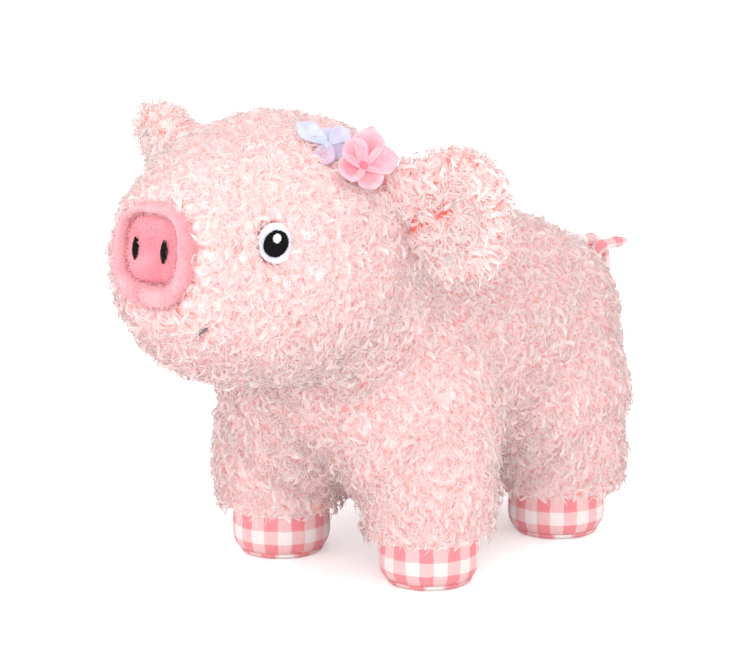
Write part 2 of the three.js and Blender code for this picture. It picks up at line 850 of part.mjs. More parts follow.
// The tail leaves the rump, drops through one curl and ends in a tip that points out and up.
function addTail(body_cutter) {
  const rump = body_length - body_front_reach;
  const drop = (tail_root_height - body_centre_height) / body_half_height;
  const root_y = rump - body_half_height * (1 - Math.sqrt(1 - drop * drop));
  const pivot = new THREE.Vector3(0, root_y, tail_root_height);
  const straight = [new THREE.Vector3(0, -tail_root_overlap, 0)];
  for (const [out, up, aside] of tail_straight_shares) {
    const side = tail_curl_start * aside;
    straight.push(new THREE.Vector3(side, tail_reach * out, tail_curl_radius * up));
  }
  const curl = [];
  for (let i = 0; i < tail_curl_points; i++) {
    const share = (i + 1 / 2) / tail_curl_points;
    const turn = 2 * Math.PI * share;
    curl.push(
      new THREE.Vector3(
        tail_curl_start + tail_curl_pitch * share,
        tail_reach + Math.sin(turn) * tail_curl_radius,
        Math.cos(turn) * tail_curl_radius - tail_curl_radius,
      ),
    );
  }
  const tip = new THREE.Vector3(tail_tip_side, tail_reach + tail_tip_length, tail_tip_rise);
  const points = [...straight, ...curl, tip].map((point) => point.add(pivot));
  const whole = solidOf(tube(points, tail_radius, tail_tip_radius, tail_points));
  const axis = new THREE.Vector3(0, 0, 1);
  const trimmed = clearOfSwing(whole, body_cutter, pivot, axis, tail_limit_degrees);
  const piece = addPiece("tail", trimmed, materials.gingham_cotton);
  piece.userData.hinge = { pivot, axis, limits: tail_limit_degrees };
}

// Sets the middle of the pig's length over the origin, so that the feet stand at Z = 0 round it.
function centreLength() {
  const { min, max } = new THREE.Box3().setFromObject(pig);
  const shift = -(min.y + max.y) / 2;
  pig.children.forEach((piece) => piece.geometry.translate(0, shift, 0));
  pig.userData.shift = shift;
}

const body_cutter = bodyForm(-seat_gap, body_rings, body_points);
const head_cutter = headForm(-seat_gap, head_rings, head_points);
addBody();
feet.forEach((foot) => {
  addSole(foot);
  addCuff(foot);
  addLeg(foot, body_cutter);
});
addHead(body_cutter);
addSnout();
addEar("left", 1, left_ear_sweep_degrees, head_cutter);
addEar("right", -1, right_ear_sweep_degrees, head_cutter);
addFlowers(head_cutter);
addTail(body_cutter);
centreLength();

export default pig;
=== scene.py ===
"""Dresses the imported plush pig: curled pile, velour snout, felt eyes and flowers, gingham feet and tail.

Every length is in metres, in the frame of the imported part: the pig faces -Y, +Z is up, its left side is +X.
"""

import logging
import math
from dataclasses import dataclass, field
from enum import Enum
from typing import Any, Callable, ClassVar, Iterable, Optional, Sequence

import bmesh
import bpy
import numpy as np
from mathutils import Matrix, Vector, noise
from mathutils.bvhtree import BVHTree
from mathutils.kdtree import KDTree


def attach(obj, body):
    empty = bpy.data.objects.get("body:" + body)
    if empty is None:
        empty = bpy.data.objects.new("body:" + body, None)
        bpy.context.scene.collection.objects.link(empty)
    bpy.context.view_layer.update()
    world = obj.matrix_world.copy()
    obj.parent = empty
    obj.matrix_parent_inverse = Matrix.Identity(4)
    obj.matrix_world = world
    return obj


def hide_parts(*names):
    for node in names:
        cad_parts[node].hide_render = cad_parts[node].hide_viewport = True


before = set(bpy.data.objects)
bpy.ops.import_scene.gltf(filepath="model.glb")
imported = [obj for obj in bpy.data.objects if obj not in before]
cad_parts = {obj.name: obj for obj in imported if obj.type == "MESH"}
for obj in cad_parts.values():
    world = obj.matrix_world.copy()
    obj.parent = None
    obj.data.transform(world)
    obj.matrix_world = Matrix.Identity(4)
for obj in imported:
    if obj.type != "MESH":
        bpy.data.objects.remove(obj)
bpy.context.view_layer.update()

LOG = logging.getLogger("plush_pig")
MM = 0.001
UP = Vector((0.0, 0.0, 1.0))
MOST_TRIANGLES = 185_000
RAY_START = 0.138
PILE_UV = "pile_uv"
CLOTH_UV = "cloth_uv"
TINT = "tint"
SOFTNESS = 0.88
SOFT_REACH = 0.6
HEAD_FRAME = Matrix.Translation((0.0, -98.271 * MM, 156.5 * MM)) @ Matrix.Rotation(math.radians(-6.0), 4, "X")
SNOUT_FRAME = (
    HEAD_FRAME @ Matrix.Translation((0.0, -69.0 * MM, 0.0)) @ Matrix.Rotation(math.radians(90.0), 4, "X")
)


class Body(Enum):
    """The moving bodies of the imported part."""

    TRUNK = "body"
    EAR_LEFT = "ear_left"
    EAR_RIGHT = "ear_right"
    TAIL = "tail"


class Side(Enum):
    """A side of the pig, as the sign of X on that side."""

    LEFT = 1
    RIGHT = -1

    @property
    def word(self) -> str:
        """The side's name as the part's nodes spell it."""
        return self.name.lower()


def linear(code: str) -> tuple[float, float, float, float]:
    """Turns a #rrggbb colour into the linear values that shaders take.

    Args:
        code: the colour as it should appear on screen.

    Returns:
        Red, green, blue and an alpha of one.
    """
    values = [int(code[i : i + 2], 16) / 255 for i in (1, 3, 5)]
    made = [v / 12.92 if v <= 0.04045 else ((v + 0.055) / 1.055) ** 2.4 for v in values]
    return (made[0], made[1], made[2], 1.0)


class Graph:
    """Adds nodes to one shader tree and links them."""

    def __init__(self, tree: bpy.types.NodeTree) -> None:
        """Keeps the tree that the nodes go into."""
        self.tree = tree

    def feed(self, node: bpy.types.Node, inputs: dict) -> None:
        """Gives a node's inputs values or links, by the name or number of the input."""
        for name, value in inputs.items():
            if isinstance(value, bpy.types.NodeSocket):
                self.tree.links.new(value, node.inputs[name])
            else:
                node.inputs[name].default_value = value

    def add(self, kind: str, inputs: Optional[dict] = None, **settings) -> bpy.types.Node:
        """Adds a node.

        Args:
            kind: the node's type, without its ShaderNode prefix.
            inputs: values or sockets, by the name or number of the input.
            settings: the node's own properties.

        Returns:
            The new node.
        """
        node = self.tree.nodes.new("ShaderNode" + kind)
        for name, value in settings.items():
            setattr(node, name, value)
        self.feed(node, inputs or {})
        return node

    def maths(self, operation: str, first, second=0.0):
        """Returns the result socket of one Math node on two values or sockets."""
        return self.add("Math", {0: first, 1: second}, operation=operation).outputs[0]

    def mix(self, factor, first, second, blend: str = "MIX"):
        """Returns the colour socket of a Mix node between two colours."""
        inputs = {0: factor, 6: first, 7: second}
        return self.add("Mix", inputs, data_type="RGBA", blend_type=blend).outputs[2]

    def ramp(self, factor, stops: Sequence[tuple[float, tuple]], interpolation: str = "EASE"):
        """Returns the colour socket of a colour ramp through the stops."""
        node = self.add("ValToRGB", {0: factor})
        ramp = node.color_ramp
        ramp.interpolation = interpolation
        while len(ramp.elements) < len(stops):
            ramp.elements.new(0.5)
        for element, (place, colour) in zip(ramp.elements, stops):
            element.position = place
            element.color = colour
        return node.outputs[0]

    def noise(self, vector, scale: float, detail: float = 3.0, roughness: float = 0.6):
        """Returns the factor socket of a noise texture."""
        inputs = {"Vector": vector, "Scale": scale, "Detail": detail, "Roughness": roughness}
        return self.add("TexNoise", inputs).outputs[0]

    def spread(self, value, low: float, high: float, least=0.0, most=1.0, **settings):
        """Returns a socket on which the range of a value is spread over another range."""
        return self.add("MapRange", {0: value, 1: low, 2: high, 3: least, 4: most}, **settings).outputs[0]

    def scaled(self, vector, factors: tuple[float, float, float]):
        """Returns a vector socket multiplied by three factors."""
        return self.add("VectorMath", {0: vector, 1: factors}, operation="MULTIPLY").outputs[0]

    def object_place(self):
        """Returns the socket of a point's place on its own object."""
        return self.add("TexCoord").outputs["Object"]

    def attribute(self, name: str):
        """Returns the socket of a number kept on the mesh."""
        return self.add("Attribute", attribute_name=name).outputs["Fac"]

    def effect(self, effect: "Effect", **inputs):
        """Returns the outputs of a shared effect with its own input values."""
        return self.add("Group", inputs, node_tree=effect.tree()).outputs

    def seen_straight(self):
        """Returns a mask of the rays that show a thing itself, and not the light that it throws."""
        path = self.add("LightPath").outputs
        seen = self.maths("MAXIMUM", path["Is Camera Ray"], path["Is Glossy Ray"])
        return self.maths("MAXIMUM", seen, path["Is Transmission Ray"])


@dataclass(frozen=True)
class Effect:
    """A shader node group that several finishes share, built once."""

    name: str
    inputs: tuple[str, ...]
    outputs: tuple[str, ...]
    fill: Callable[[Graph, Any], Sequence]
    _made: ClassVar[dict[str, bpy.types.NodeTree]] = {}

    def tree(self) -> bpy.types.NodeTree:
        """Makes the group on first use, and returns the same one after that."""
        if self.name not in self._made:
            tree = bpy.data.node_groups.new(self.name, "ShaderNodeTree")
            for label in self.inputs:
                kind = "NodeSocketVector" if label in ("Map", "Place") else "NodeSocketFloat"
                tree.interface.new_socket(label, in_out="INPUT", socket_type=kind)
            for label in self.outputs:
                tree.interface.new_socket(label, in_out="OUTPUT", socket_type="NodeSocketFloat")
            graph = Graph(tree)
            results = self.fill(graph, tree.nodes.new("NodeGroupInput").outputs)
            graph.feed(tree.nodes.new("NodeGroupOutput"), dict(zip(self.outputs, results)))
            self._made[self.name] = tree
        return self._made[self.name]


def fine_fibres(graph: Graph, given) -> Sequence:
    """Draws fine fibres that run along the V axis of a lock's own map, different on each lock."""
    parts = graph.add("SeparateXYZ", {0: given["Map"]}).outputs
    around = graph.maths("ADD", parts[0], graph.maths("MULTIPLY", parts[1], given["Twist"]))
    seed = graph.maths("MULTIPLY", given["Seed"], SEED_STEP)
    angle = graph.maths("MULTIPLY", around, math.tau)
    east, north = graph.maths("COSINE", angle), graph.maths("SINE", angle)
    ring = graph.add("CombineXYZ", {0: east, 1: north, 2: seed}).outputs[0]
    wide = graph.add("VectorMath", {0: ring, 3: given["Fineness"]}, operation="SCALE").outputs[0]
    shift = graph.add("CombineXYZ", {0: seed, 1: parts[1], 2: parts[1]}).outputs[0]
    place = graph.add("VectorMath", {0: wide, 1: shift}, operation="ADD").outputs[0]
    return [graph.noise(place, 1.0)]


def soft_patches(graph: Graph, given) -> Sequence:
    """Draws soft patches, at a size given in patches to the metre, over the whole range."""
    noise_inputs = {"Vector": given["Place"], "Scale": given["Scale"], "Detail": 3.0}
    return [graph.spread(graph.add("TexNoise", noise_inputs).outputs[0], 0.32, 0.68)]


def short_nap(graph: Graph, given) -> Sequence:
    """Draws short matted fibres, as on felt and velour: a mask of tufts and a height."""
    place, scale = given["Place"], given["Scale"]
    stretched = graph.scaled(place, (1.0, 1.0, 0.45))
    tufts = graph.noise(stretched, scale, 4.0, 0.7)
    finer = graph.maths("MULTIPLY", scale, 4.0)
    curled = {"Vector": place, "Scale": finer, "Detail": 2.0, "Distortion": 1.5}
    fibres = graph.add("TexNoise", curled).outputs[0]
    return [tufts, graph.maths("ADD", tufts, graph.maths("MULTIPLY", fibres, 0.5))]


def plain_weave(graph: Graph, given) -> Sequence:
    """Weaves bands of dyed thread both ways: which thread is dyed where, and its height."""
    wander = graph.add("TexNoise", {"Vector": given["Map"], "Scale": 260.0, "Detail": 1.0}).outputs[0]
    drift = graph.maths("MULTIPLY", graph.maths("SUBTRACT", wander, 0.5), 1.2 * MM)
    parts = graph.add("SeparateXYZ", {0: given["Map"]}).outputs
    dyed, threads, ridges = [], [], []
    for way in (graph.maths("ADD", parts[0], drift), graph.maths("ADD", parts[1], drift)):
        band = graph.maths("DIVIDE", way, given["Check"])
        wave = graph.maths("SINE", graph.maths("MULTIPLY", band, math.pi))
        dyed.append(graph.spread(wave, -0.06, 0.06))
        count = graph.maths("DIVIDE", way, given["Thread"])
        threads.append(graph.maths("FLOOR", count))
        ridges.append(graph.maths("ABSOLUTE", graph.maths("SINE", graph.maths("MULTIPLY", count, math.pi))))
    over = graph.maths("ABSOLUTE", graph.maths("MODULO", graph.maths("ADD", *threads), 2.0))
    under = graph.maths("SUBTRACT", 1.0, over)
    return [
        graph.maths("ADD", graph.maths("MULTIPLY", first, over), graph.maths("MULTIPLY", second, under))
        for first, second in (dyed, ridges)
    ]


SEED_STEP = 57.0
FIBRES = Effect("Fine fibres", ("Map", "Seed", "Twist", "Fineness"), ("Streak",), fine_fibres)
MOTTLING = Effect("Mottling", ("Place", "Scale"), ("Patches",), soft_patches)
NAP = Effect("Nap", ("Place", "Scale"), ("Tufts", "Height"), short_nap)
WEAVE = Effect("Plain weave", ("Map", "Check", "Thread"), ("Dyed", "Height"), plain_weave)


class Cloth(Graph):
    """The graph of a new cloth material, round its Principled node."""

    def __init__(
        self, name: str, roughness: float, sheen: float = 0.0, tint: str = "#ffffff", gloss: float = 0.12
    ) -> None:
        """Starts the material.

        Args:
            name: the material's name.
            roughness: of its surface.
            sheen: how strongly its fibres catch the light at a glance.
            tint: the colour of that light.
            gloss: how strongly it mirrors.
        """
        self.material = bpy.data.materials.new(name)
        self.material.use_nodes = True
        super().__init__(self.material.node_tree)
        self.surface = self.tree.nodes["Principled BSDF"]
        self.feed(self.surface, {"Roughness": roughness, "Specular IOR Level": gloss})
        self.feed(self.surface, {"Sheen Weight": sheen, "Sheen Roughness": 0.55, "Sheen Tint": linear(tint)})

    def shadowed(self, colour, mask, hollow: tuple, ends: tuple[float, float], share: float):
        """Returns a colour that darkens in the hollows of a mask: painted shade.

        Args:
            colour: the colour's socket.
            mask: the mask's socket.
            hollow: the painted shade that the colour is multiplied by in a hollow.
            ends: the mask's values where a hollow ends and where the full colour begins.
            share: how much of the darkening is used.

        Returns:
            The new colour's socket.
        """
        painted_shade = self.ramp(mask, [(ends[0], hollow), (ends[1], WHITE)])
        return self.mix(share, colour, painted_shade, "MULTIPLY")

    def coat(self, colour, height, strength: float, depth: float) -> bpy.types.Material:
        """Gives the surface its colour and a bump of the height, and returns the material."""
        bump = self.add("Bump", {"Strength": strength, "Distance": depth, "Height": height})
        self.feed(self.surface, {"Base Color": colour, "Normal": bump.outputs[0]})
        return self.material


WHITE = (1.0, 1.0, 1.0, 1.0)


@dataclass(frozen=True)
class Plush:
    """Curled polyester pile: deep pink at its roots, partly as painted shade deep in the pile, and pale at
    its tips.
    """

    name: str
    root: str
    middle: str
    tip: str
    flush: str
    flush_share: float = 0.5
    through: float = 0.35

    def material(self) -> bpy.types.Material:
        """Builds the material, which reads each lock's own map and tint and lets some light through."""
        cloth = Cloth(self.name, 1.0, gloss=0.0)
        lock_map = cloth.add("UVMap", uv_map=PILE_UV).outputs[0]
        tint = cloth.attribute(TINT)
        along = cloth.add("SeparateXYZ", {0: lock_map}).outputs[1]
        # Deeper pink towards the roots: partly painted shade of the pile's depth.
        stops = [(0.0, linear(self.root)), (0.42, linear(self.middle)), (0.86, linear(self.tip))]
        patches = cloth.effect(MOTTLING, Place=cloth.object_place(), Scale=42.0)[0]
        # Each lock's tint mixes in the flush colour: a random tone, and painted shade on locks that face
        # down.
        share = cloth.maths("MULTIPLY", cloth.maths("MULTIPLY", tint, patches), self.flush_share)
        flushed_and_shaded = cloth.mix(share, cloth.ramp(along, stops), linear(self.flush))
        streak = cloth.effect(FIBRES, Map=lock_map, Seed=tint, Twist=0.9, Fineness=2.6)[0]
        # Painted shade between the fibre streaks.
        colour = cloth.shadowed(flushed_and_shaded, streak, (0.95, 0.89, 0.89, 1), (0.3, 0.62), 0.8)
        lit = cloth.add("BsdfTranslucent", {"Color": colour})
        both = cloth.add("MixShader", {0: self.through, 1: cloth.surface.outputs[0], 2: lit.outputs[0]})
        cloth.feed(cloth.tree.nodes["Material Output"], {"Surface": both.outputs[0]})
        return cloth.coat(colour, streak, 0.25, 0.15 * MM)


@dataclass(frozen=True)
class Matting:
    """The lower pile, felted together into wads, coloured by height: deep pink in its clefts as painted
    shade, pale on its crowns.
    """

    name: str
    cleft_shade: str
    side: str
    crown: str

    def material(self) -> bpy.types.Material:
        """Builds the material, which reads how high each point stands on its wad."""
        cloth = Cloth(self.name, 1.0, gloss=0.0)
        nap = cloth.effect(NAP, Place=cloth.object_place(), Scale=420.0)
        tufts = cloth.maths("MULTIPLY", cloth.maths("SUBTRACT", nap["Tufts"], 0.5), 0.5)
        height = cloth.maths("ADD", cloth.attribute(TINT), tufts)
        # The cleft colour at the low points is painted shade between the wads.
        stops = [(0.1, linear(self.cleft_shade)), (0.42, linear(self.side)), (0.8, linear(self.crown))]
        return cloth.coat(cloth.ramp(height, stops), nap["Height"], 0.5, 0.8 * MM)


@dataclass(frozen=True)
class Napped:
    """Cloth with a fuzzy face, in soft patches of two colours: here the ground that the pile stands on."""

    name: str
    first: str
    second: str
    far: Optional[str] = None
    scale: float = 420.0
    patches: float = 60.0
    roughness: float = 1.0
    sheen: float = 0.0
    sheen_tint: str = "#ffffff"
    hollow: tuple[float, float, float, float] = (0.8, 0.72, 0.72, 1.0)
    ends: tuple[float, float] = (0.3, 0.65)
    shading: float = 0.8
    relief: float = 0.7
    depth: float = 1.0 * MM
    glow: float = 0.0

    def material(self) -> bpy.types.Material:
        """Builds the material, which fades to the far colour by the mesh's own tint where one is given."""
        cloth = Cloth(self.name, self.roughness, self.sheen, self.sheen_tint)
        place = cloth.object_place()
        nap = cloth.effect(NAP, Place=place, Scale=self.scale)
        patches = cloth.effect(MOTTLING, Place=place, Scale=self.patches)[0]
        colour = cloth.mix(patches, linear(self.first), linear(self.second))
        if self.far:
            colour = cloth.mix(cloth.attribute(TINT), colour, linear(self.far))
        # Painted shade in the hollows of the nap.
        colour = cloth.shadowed(colour, nap["Tufts"], self.hollow, self.ends, self.shading)
        cloth.feed(cloth.surface, {"Subsurface Weight": self.glow, "Subsurface Scale": 1.0 * MM})
        return cloth.coat(colour, nap["Height"], self.relief, self.depth)


@dataclass(frozen=True)
class Velour(Napped):
    """Short brushed pile that is lighter where it is combed towards the light."""

    scale: float = 300.0
    patches: float = 75.0
    roughness: float = 0.9
    sheen: float = 0.35
    sheen_tint: str = "#ffd3d8"
    hollow: tuple[float, float, float, float] = (0.9, 0.8, 0.81, 1.0)
    ends: tuple[float, float] = (0.32, 0.62)
    shading: float = 0.5
    relief: float = 0.35
    depth: float = 0.4 * MM
    glow: float = 0.15


@dataclass(frozen=True)
class Felt(Napped):
    """Pressed felt with a slightly fuzzy, uneven face."""

    scale: float = 520.0
    patches: float = 130.0
    roughness: float = 0.95
    sheen: float = 0.3
    hollow: tuple[float, float, float, float] = (0.92, 0.88, 0.9, 1.0)
    ends: tuple[float, float] = (0.3, 0.62)
    relief: float = 0.5
    depth: float = 0.35 * MM
    glow: float = 0.2


@dataclass(frozen=True)
class Thread:
    """Embroidery in rows of fine parallel stitches."""

    name: str
    dark: str
    light: str
    stitch: float = 0.42 * MM

    def material(self) -> bpy.types.Material:
        """Builds the material on the cloth map, whose X axis crosses the stitches."""
        cloth = Cloth(self.name, 0.6)
        stitches = cloth.add("UVMap", uv_map=CLOTH_UV).outputs[0]
        across = cloth.add("SeparateXYZ", {0: stitches}).outputs[0]
        wave = cloth.maths("SINE", cloth.maths("MULTIPLY", across, math.tau / self.stitch))
        loose = cloth.noise(cloth.scaled(stitches, (1.0, 0.25, 1.0)), 2400.0)
        ridge = cloth.maths("ADD", cloth.maths("MULTIPLY", wave, 0.35), loose)
        # Darker in the grooves between stitches and lighter on their ridges: painted shade.
        colour = cloth.ramp(ridge, [(0.25, linear(self.dark)), (1.0, linear(self.light))], "LINEAR")
        return cloth.coat(colour, ridge, 0.6, 0.25 * MM)


@dataclass(frozen=True)
class Gingham:
    """Quarter-inch gingham, woven from white and dyed cotton."""

    name: str
    white: str
    dyed: str
    worn: str
    check: float = 6.35 * MM
    thread: float = 0.34 * MM

    def material(self) -> bpy.types.Material:
        """Builds the material on the cloth map, which is in metres along both threads."""
        cloth = Cloth(self.name, 0.85, 0.15, "#fff4f4")
        place = cloth.add("UVMap", uv_map=CLOTH_UV).outputs[0]
        weave = cloth.effect(WEAVE, Map=place, Check=self.check, Thread=self.thread)
        slub = cloth.noise(cloth.scaled(place, (1.0, 0.2, 1.0)), 900.0)
        dyed = cloth.mix(slub, linear(self.dyed), linear(self.worn))
        colour = cloth.mix(weave["Dyed"], linear(self.white), dyed)
        # Painted shade where the threads dip under each other.
        colour = cloth.shadowed(colour, weave["Height"], (0.8, 0.76, 0.76, 1), (0.0, 0.6), 0.5)
        return cloth.coat(colour, weave["Height"], 0.35, 0.12 * MM)


@dataclass(frozen=True)
class Wadding:
    """Loose white polyester filling."""

    name: str = "polyester_wadding"

    def material(self) -> bpy.types.Material:
        """Builds the material from tangled fibres."""
        cloth = Cloth(self.name, 1.0, 0.2)
        nap = cloth.effect(NAP, Place=cloth.object_place(), Scale=240.0)
        # Darker where the tufts are low: painted shade in the hollows of the fibres.
        colour = cloth.ramp(nap["Tufts"], [(0.3, linear("#dedad4")), (0.7, linear("#faf8f4"))])
        return cloth.coat(colour, nap["Height"], 0.8, 1.5 * MM)


HEAD_PLUSH = Plush("head_curls", "#fdd3d1", "#feeceb", "#fdf6f6", "#fedfdd")
BODY_PLUSH = Plush("body_curls", "#fccfcd", "#fce9e8", "#fbf3f2", "#fbdad8")
EAR_PLUSH = Plush("ear_curls", "#fec9c7", "#feecea", "#fdf6f5", "#fedcda", 0.45)
HEAD_MATTING = Matting("head_matting", "#ffaca8", "#ffdfdd", "#fdf0ef")
BODY_MATTING = Matting("body_matting", "#faa8a5", "#f8d5d3", "#f6e6e5")
EAR_MATTING = Matting("ear_matting", "#f88e89", "#fdd6d4", "#faebe9")
BACKING = Napped("knit_backing", "#ffbdba", "#fdaba7")
# The ear's ground is a deeper pink than the trunk's: where the pile parts along the crease it shows as
# painted shade.
EAR_BACKING = Napped("ear_backing", "#ff9a96", "#fb8480")
RING_VELOUR = Velour("ring_velour", "#f6a4af", "#fbbac1")
PAD_VELOUR = Velour("pad_velour", "#f3909e", "#f8a5b0")
RING_FUZZ = Velour("ring_fuzz", "#f8b0b9", "#fdccd1")
PAD_FUZZ = Velour("pad_fuzz", "#f59caa", "#fab0ba")
PINK_FELT = Felt("petal_felt", "#fcb0be", "#ffcbd5")
# Painted shade: a deep pink felt for the button where the pink flower's gathered petals are shaded.
CENTRE_SHADE_FELT = Felt("flower_eye_felt", "#ee6f86", "#f88fa0")
BLUE_FELT = Felt("blue_felt", "#c9d0e8", "#dfe4f4", far="#d9bfdb")
EYE_FELT = Felt("eye_felt", "#e4e6f0", "#f1f2f8")
BLACK_THREAD = Thread("black_thread", "#040304", "#161317")
GREY_THREAD = Thread("grey_thread", "#6b6266", "#a1979b")
WHITE_THREAD = Thread("white_thread", "#eef0f6", "#ffffff")
GINGHAM = Gingham("gingham", "#efe7e5", "#e27a83", "#f2a3aa")
WADDING = Wadding()


class Wardrobe:
    """Makes each finish's material once."""

    _made: ClassVar[dict[str, bpy.types.Material]] = {}

    @classmethod
    def dress(cls, piece: bpy.types.Object, finish, slot: str) -> None:
        """Gives a piece its material."""
        if finish.name not in cls._made:
            cls._made[finish.name] = finish.material()
        piece.data.materials.clear()
        piece.data.materials.append(cls._made[finish.name])

    @classmethod
    def settle(
        cls,
        piece: bpy.types.Object,
        finish,
        slot: str,
        body: Body = Body.TRUNK,
        fill: Optional[float] = None,
        node: Optional[str] = None,
    ) -> None:
        """Args:
            piece: the piece.
            finish: what it is made of.
            slot: the record's slot that its material stands for.
            body: the body that it rides on.
            fill: how full it is, for a padded piece; not used.
            node: the CAD node that it replaces, if it replaces one.
        """
        cls.dress(piece, finish, slot)
        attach(piece, body.value)
        if node is not None:
            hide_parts(node)


def linked(name: str, data) -> bpy.types.Object:
    """Returns a mesh, a camera or a lamp as an object of the scene, at the origin."""
    made = bpy.data.objects.new(name, data)
    bpy.context.scene.collection.objects.link(made)
    return made


def object_from(bm: bmesh.types.BMesh, name: str, smooth: bool = True) -> bpy.types.Object:
    """Turns a bmesh into a linked object, and frees it.

    Args:
        bm: the mesh, in the part's own frame.
        name: the object's name.
        smooth: whether its faces are shaded smooth.

    Returns:
        The object, at the origin.
    """
    mesh = bpy.data.meshes.new(name)
    bm.to_mesh(mesh)
    bm.free()
    if smooth:
        mesh.shade_smooth()
    return linked(name, mesh)


def merged_copy(nodes: Sequence[str]) -> bmesh.types.BMesh:
    """Copies CAD nodes into one bmesh, with their loose triangles merged."""
    bm = bmesh.new()
    for node in nodes:
        bm.from_mesh(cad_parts[node].data)
    bmesh.ops.remove_doubles(bm, verts=bm.verts, dist=0.01 * MM)
    return bm


def apply_modifiers(piece: bpy.types.Object) -> None:
    """Replaces a piece's mesh by what its modifiers make of it."""
    graph = bpy.context.evaluated_depsgraph_get()
    made = bpy.data.meshes.new_from_object(piece.evaluated_get(graph))
    old = piece.data
    piece.modifiers.clear()
    piece.data = made
    bpy.data.meshes.remove(old)


def remeshed(piece: bpy.types.Object, voxel: float) -> None:
    """Rebuilds a closed piece as one even skin of square faces."""
    remesh = piece.modifiers.new("Even skin", "REMESH")
    remesh.mode = "VOXEL"
    remesh.voxel_size = voxel
    remesh.use_smooth_shade = True
    apply_modifiers(piece)
    put_in_order(piece.data)


def put_in_order(mesh: bpy.types.Mesh) -> None:
    """Sorts a mesh's points and faces by place, because a remesh numbers them differently in each run."""
    points = coordinates(mesh)
    order = np.lexsort(points.T[::-1])
    rank = np.empty(len(order), int)
    rank[order] = np.arange(len(order))
    faces = []
    for polygon in mesh.polygons:
        corners = [int(rank[corner]) for corner in polygon.vertices]
        first = corners.index(min(corners))
        faces.append(corners[first:] + corners[:first])
    mesh.clear_geometry()
    mesh.from_pydata(points[order].tolist(), [], sorted(faces))
    mesh.shade_smooth()


def coordinates(mesh: bpy.types.Mesh) -> np.ndarray:
    """Returns a mesh's points as rows of three numbers."""
    flat = np.empty(len(mesh.vertices) * 3, np.float32)
    mesh.vertices.foreach_get("co", flat)
    return flat.reshape(-1, 3).astype(float)


def vertex_normals(mesh: bpy.types.Mesh) -> np.ndarray:
    """Returns a mesh's point normals as rows of three numbers."""
    flat = np.empty(len(mesh.vertices) * 3, np.float32)
    mesh.vertex_normals.foreach_get("vector", flat)
    return flat.reshape(-1, 3).astype(float)


def set_coordinates(mesh: bpy.types.Mesh, points: np.ndarray) -> None:
    """Moves a mesh's points."""
    mesh.vertices.foreach_set("co", points.astype(np.float32).ravel())
    mesh.update()


def keep_tints(mesh: bpy.types.Mesh, tints: np.ndarray) -> None:
    """Keeps a number from zero to one at each point, for the materials to read."""
    mesh.attributes.new(TINT, "FLOAT", "POINT").data.foreach_set("value", tints.astype(np.float32))


def smoothed(piece: bpy.types.Object, passes: int) -> None:
    """Evens out a piece's mesh by moving each point towards its neighbours."""
    bm = bmesh.new()
    bm.from_mesh(piece.data)
    for _ in range(passes):
        bmesh.ops.smooth_vert(
            bm, verts=bm.verts, factor=0.5, use_axis_x=True, use_axis_y=True, use_axis_z=True
        )
    bm.to_mesh(piece.data)
    bm.free()
    piece.data.shade_smooth()


def tree_of(piece: bpy.types.Object) -> BVHTree:
    """Returns a search tree of a piece's faces."""
    mesh = piece.data
    return BVHTree.FromPolygons([v.co for v in mesh.vertices], [list(p.vertices) for p in mesh.polygons])


def units(vectors: np.ndarray) -> np.ndarray:
    """Returns rows of vectors at a length of one."""
    return vectors / np.maximum(np.linalg.norm(vectors, axis=1, keepdims=True), 1e-12)


def wobble(points: np.ndarray, wavelength: float, seed: float = 0.0) -> np.ndarray:
    """Returns a smooth random vector at each point, the same for the same seed within one run.

    Blender starts this noise from the clock, so it differs a little from one run to the next.
    """
    offset = Vector((seed * 3.1, seed * 7.7, seed * 5.3))
    return np.array([noise.noise_vector(Vector(p) / wavelength + offset) for p in points])


def swollen(piece: bpy.types.Object, pressure: float, cap: float, frames: int = 20) -> None:
    """Blows a closed skin up as cloth, and keeps what the simulation makes of it.

    Args:
        piece: the skin, remeshed evenly.
        pressure: of the filling on the cloth.
        cap: the furthest that a point may move.
        frames: how long the simulation runs.
    """
    rest = coordinates(piece.data)
    cloth = piece.modifiers.new("Cloth", "CLOTH")
    cloth.settings.quality = 5
    cloth.settings.use_pressure = True
    cloth.settings.uniform_pressure_force = pressure
    cloth.settings.effector_weights.gravity = 0.0
    cloth.point_cache.frame_start = 1
    cloth.point_cache.frame_end = frames
    scene = bpy.context.scene
    for step in range(1, frames + 1):
        scene.frame_set(step)
    apply_modifiers(piece)
    scene.frame_set(1)
    move = coordinates(piece.data) - rest
    length = np.linalg.norm(move, axis=1, keepdims=True)
    set_coordinates(piece.data, rest + move * np.minimum(1.0, cap / np.maximum(length, 1e-9)))


def seat_of(node: str, upright: Vector = UP) -> Matrix:
    """Finds the frame of a flat CAD node on the head.

    Args:
        node: the node's name.
        upright: the way that its Y axis points, as near as can be.

    Returns:
        Its middle, with Z out of the head across its least thickness.
    """
    bm = merged_copy([node])
    points = np.array([v.co[:] for v in bm.verts])
    bm.free()
    middle = Vector((points.min(0) + points.max(0)) / 2)
    normal = Vector(np.linalg.svd(points - points.mean(0))[2][2])
    if normal.dot(middle - HEAD_FRAME.translation) < 0:
        normal.negate()
    return framed(middle, normal, upright)


def framed(middle: Vector, normal: Vector, upright: Vector = UP) -> Matrix:
    """Returns the frame at a point whose Z is the normal and whose Y is as near as can be to upright."""
    x = upright.cross(normal).normalized()
    basis = Matrix((x, normal.cross(x), normal)).transposed().to_4x4()
    return Matrix.Translation(middle) @ basis


def spun(bm: bmesh.types.BMesh, profile: Sequence, steps: int) -> None:
    """Spins points and edges once round Z."""
    bmesh.ops.spin(
        bm, geom=profile, cent=(0, 0, 0), axis=(0, 0, 1), angle=math.tau, steps=steps, use_merge=True
    )


